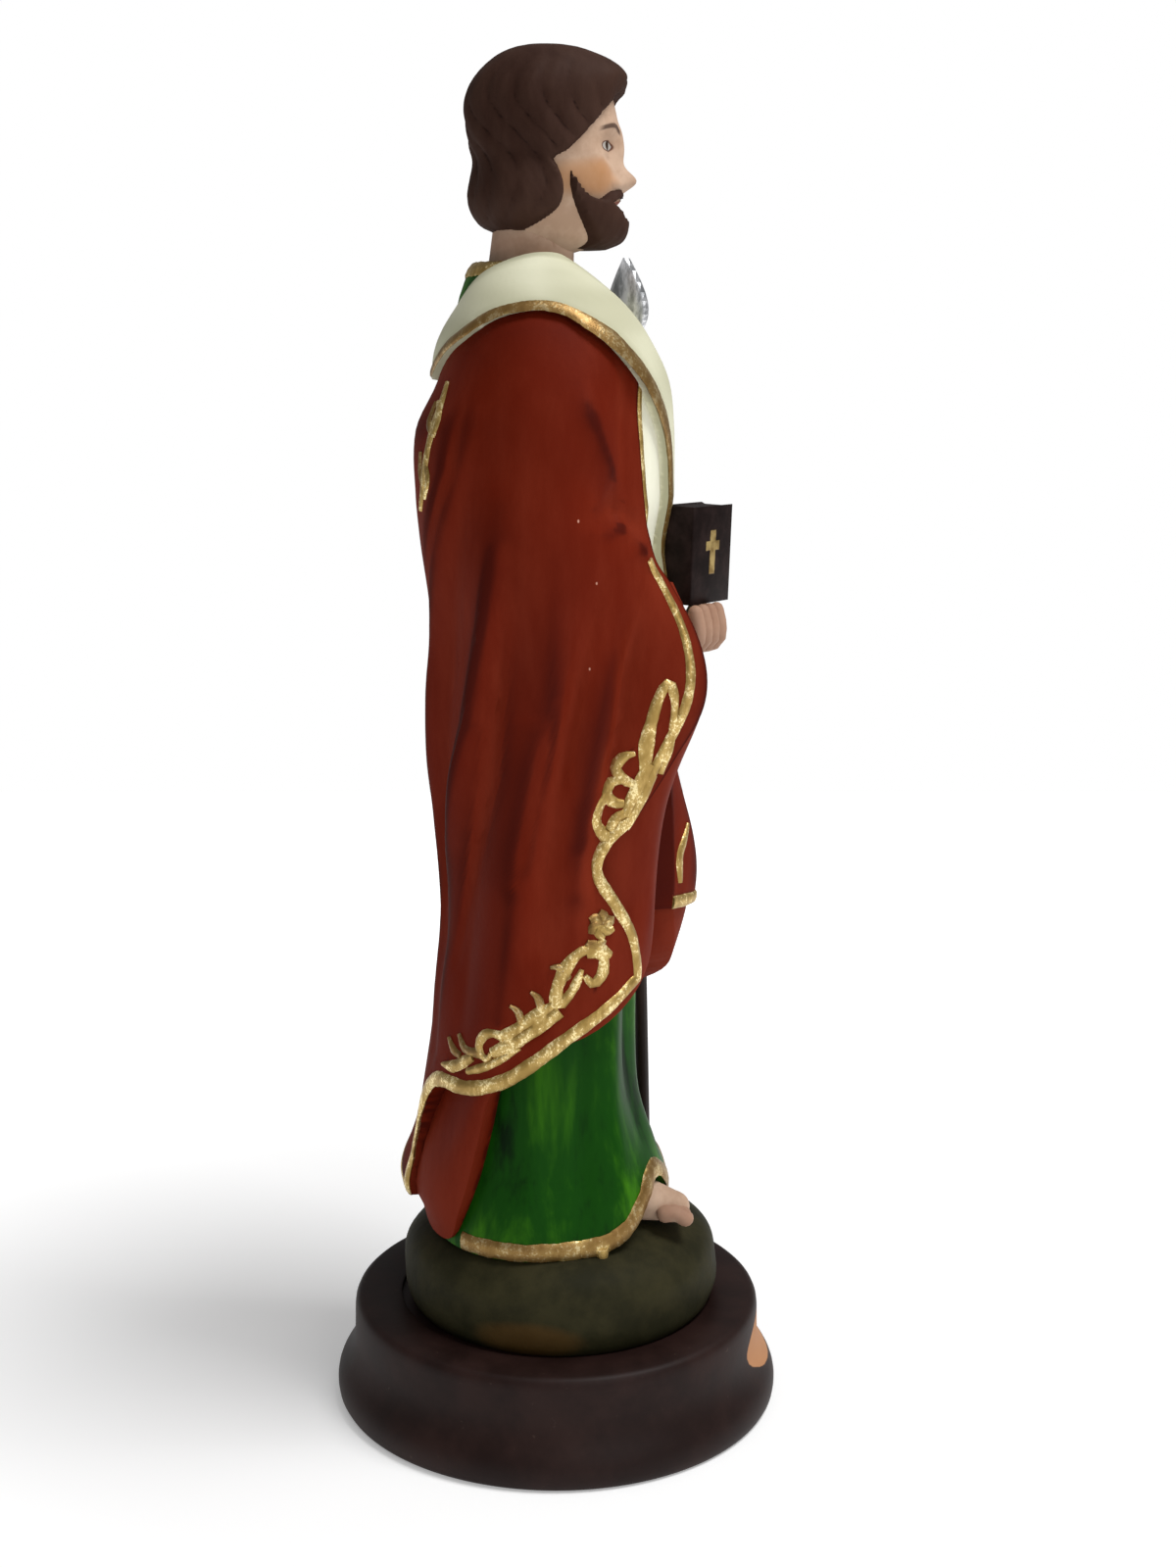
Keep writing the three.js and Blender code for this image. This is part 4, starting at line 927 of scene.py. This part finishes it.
def fuse(base, parts):
    """Unites closed forms into one casting, each with its own paint."""
    for part in parts:
        join = base.modifiers.new("join", "BOOLEAN")
        join.operation, join.solver, join.object = "UNION", "MANIFOLD", part
        join.material_mode = "TRANSFER"
    graph = bpy.context.evaluated_depsgraph_get()
    joined = bpy.data.meshes.new_from_object(
        base.evaluated_get(graph), preserve_all_data_layers=True, depsgraph=graph
    )
    base.modifiers.clear()
    base.data = joined
    for part in parts:
        bpy.data.objects.remove(part)
    return base


figure = fuse(mound(), robes + head + hands + foot(-1, -6, -21) + foot(1, 14, -17) + gold)

# How deep each spot lies in the relief: its distance from the surface smoothed round it,
# finely for the creases of the carving and broadly for the hollows of folds. The paints darken both as
# painted shade.
data = figure.data
count = len(data.vertices)
spots, normals = np.empty(count * 3), np.empty(count * 3)
data.vertices.foreach_get("co", spots)
data.vertices.foreach_get("normal", normals)
spots, normals = spots.reshape(-1, 3) * 1000, normals.reshape(-1, 3)
ends = np.empty(len(data.edges) * 2, int)
data.edges.foreach_get("vertices", ends)
first, second = ends.reshape(-1, 2).T
weight = 1 / (np.linalg.norm(spots[first] - spots[second], axis=1) + 0.05)
total = np.bincount(first, weight, count) + np.bincount(second, weight, count)
smoothed = spots.copy()
for rounds, depth, name in ((4, 0.16, "cavity"), (34, 1.1, "hollow")):
    for _ in range(rounds):
        pulled = [
            np.bincount(first, weight * smoothed[second, k], count)
            + np.bincount(second, weight * smoothed[first, k], count)
            for k in range(3)
        ]
        smoothed = 0.4 * smoothed + 0.6 * np.stack(pulled, 1) / total[:, None]
    deep = np.clip(np.sum((smoothed - spots) * normals, axis=1) / depth, -2, 2)
    data.attributes.new(name, "FLOAT", "POINT").data.foreach_set("value", deep)
data.shade_smooth()
data.set_sharp_from_angle(angle=math.radians(50))
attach(figure, "root")
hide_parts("figure")

# Plinth: a round moulded base, cast in resin and painted a satin near-black brown. A plain
# oval plate of colour is painted on the front of its band.
plinth_paint = Paint("plinth_paint")
x, y, z = plinth_paint.axes()
worn = plinth_paint.noise(60, 5, 0.6)
specks = plinth_paint.noise(520, 3, 0.6)
tone = plinth_paint.mix((0.0115, 0.0042, 0.0032), (0.023, 0.0098, 0.0078), worn.step(0.35, 0.68))
tone = plinth_paint.mix(tone, (0.07, 0.045, 0.035), (specks + worn * 0.3).step(0.84, 0.95) * 0.5)
oval = (x / 18.5) ** 2 + ((z - 14.2) / 6.8) ** 2 + y.step(-34, -30) * 9
label = (1 - oval + (specks - 0.5) * 0.12).step(-0.03, 0.03)
tone = plinth_paint.mix(tone, plinth_paint.mix((0.42, 0.175, 0.07), (0.52, 0.27, 0.13), worn), label)
plinth_paint.set(Base_Color=tone, Roughness=0.46 + worn * 0.14 + label * 0.1)
plinth_paint.set(Specular_IOR_Level=0.16)
plinth_paint.bump(worn * 0.5 + specks * 0.15, 0.0003, 0.5)


def plinth():
    outline = [
        (0, 0), (49.6, 0), (50.5, 0.4), (51, 1.3), (51.2, 2.6), (51.2, 3.8), (51, 5), (50.6, 6.1),
        (50, 7.2), (49.2, 8.4), (48.4, 9.8), (47.8, 11.2), (47.35, 12.6), (47.1, 14), (47, 16),
        (46.95, 18.5), (46.9, 20.8), (46.75, 22), (46.4, 22.8), (45.8, 23.35), (45, 23.6),
        (36.4, 23.6), (36.05, 23.4), (36, 23), (36, 22.4), (0, 22.4),
    ]
    mesh = bmesh.new()
    verts = [mesh.verts.new((r * 0.001, 0, h * 0.001)) for r, h in outline]
    edges = [mesh.edges.new(pair) for pair in zip(verts, verts[1:])]
    bmesh.ops.spin(
        mesh,
        geom=verts + edges,
        cent=(0, 0, 0),
        axis=(0, 0, 1),
        angle=math.tau,
        steps=160,
        use_merge=True,
    )
    bmesh.ops.remove_doubles(mesh, verts=mesh.verts, dist=1e-6)
    return to_object("base", mesh, [v.co * 1000 for v in mesh.verts], plinth_paint)


plinth = plinth()
plinth.data.shade_smooth()
plinth.data.set_sharp_from_angle(angle=math.radians(40))
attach(plinth, "root")
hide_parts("plinth")

# Halberd: a thin staff painted dark brown with a cast head, brushed silver, all one piece.
staff_paint = Paint("staff_paint")
grain = staff_paint.noise(150, 4, 0.6, (1, 1, 0.15))
tone = staff_paint.mix((0.016, 0.01, 0.008), (0.04, 0.023, 0.017), grain.step(0.35, 0.7))
staff_paint.set(Base_Color=tone, Roughness=0.45 + grain * 0.1, Specular_IOR_Level=0.2)
silver_paint = Paint("silver_paint")
brushed = silver_paint.noise(600, 4, 0.6, (1, 1, 0.4))
tone = silver_paint.mix((0.34, 0.35, 0.36), (0.85, 0.86, 0.88), brushed.step(0.35, 0.62))
silver_paint.set(Base_Color=tone, Metallic=0.8, Roughness=0.34 + brushed * 0.2)
silver_paint.bump(brushed, 0.00015, 0.7)

SOCKET_FOOT = 0.2195
halberd = bpy.data.objects.new("pole_axe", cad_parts["halberd"].data.copy())
bpy.context.scene.collection.objects.link(halberd)
mesh = bmesh.new()
mesh.from_mesh(halberd.data)
bmesh.ops.remove_doubles(mesh, verts=mesh.verts, dist=1e-6)
halberd.data.materials.clear()
for paint in (staff_paint, silver_paint):
    halberd.data.materials.append(paint.material)
for face in mesh.faces:
    face.material_index = int(face.calc_center_median().z > SOCKET_FOOT)
mesh.to_mesh(halberd.data)
mesh.free()
halberd.data.shade_smooth()
halberd.data.set_sharp_from_angle(angle=math.radians(35))
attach(halberd, "root")
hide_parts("halberd")

# Setting: a white sweep under broad soft light from above, with a weaker one by the camera.
floor_paint = Paint("floor_paint")
x, y, z = floor_paint.axes()
# The floor glows, faintly near the statue and more strongly farther out, so that the far floor stays
# white: painted light.
far = ((x**2 + y**2) ** 0.5).step(70, 420)
glow = floor_paint.mix((0.27, 0.27, 0.27), (0.8, 0.8, 0.8), far)
floor_paint.set(Base_Color=(0.85, 0.85, 0.85), Roughness=0.9, Specular_IOR_Level=0.1)
floor_paint.set(Emission_Color=glow, Emission_Strength=1.0)
mesh = bmesh.new()
bmesh.ops.create_grid(mesh, x_segments=1, y_segments=1, size=0.7)
floor = to_object("floor", mesh, [v.co * 1000 for v in mesh.verts], floor_paint)

# The backdrop is white, and gives the statue less light than its own brightness would.
world = bpy.data.worlds.new("world")
bpy.context.scene.world = world
world.use_nodes = True
background = world.node_tree.nodes["Background"]
background.inputs["Color"].default_value = (1, 1, 1, 1)
sight = world.node_tree.nodes.new("ShaderNodeLightPath")
strength = world.node_tree.nodes.new("ShaderNodeMapRange")
strength.inputs["To Min"].default_value = 0.27
strength.inputs["To Max"].default_value = 1.0
world.node_tree.links.new(sight.outputs["Is Camera Ray"], strength.inputs["Value"])
world.node_tree.links.new(strength.outputs["Result"], background.inputs["Strength"])


def area_light(name, place, size, power):
    light = bpy.data.objects.new(name, bpy.data.lights.new(name, "AREA"))
    light.data.energy, light.data.size = power, size
    light.location = place
    light.rotation_euler = (Vector((0, 0, 0.15)) - Vector(place)).to_track_quat("-Z", "Y").to_euler()
    bpy.context.scene.collection.objects.link(light)


area_light("key", (-0.15, -0.42, 1.1), 0.4, 8.5)
area_light("fill", (-0.9, -0.5, 0.6), 0.6, 2.6)
bpy.context.scene.view_settings.view_transform = "Standard"
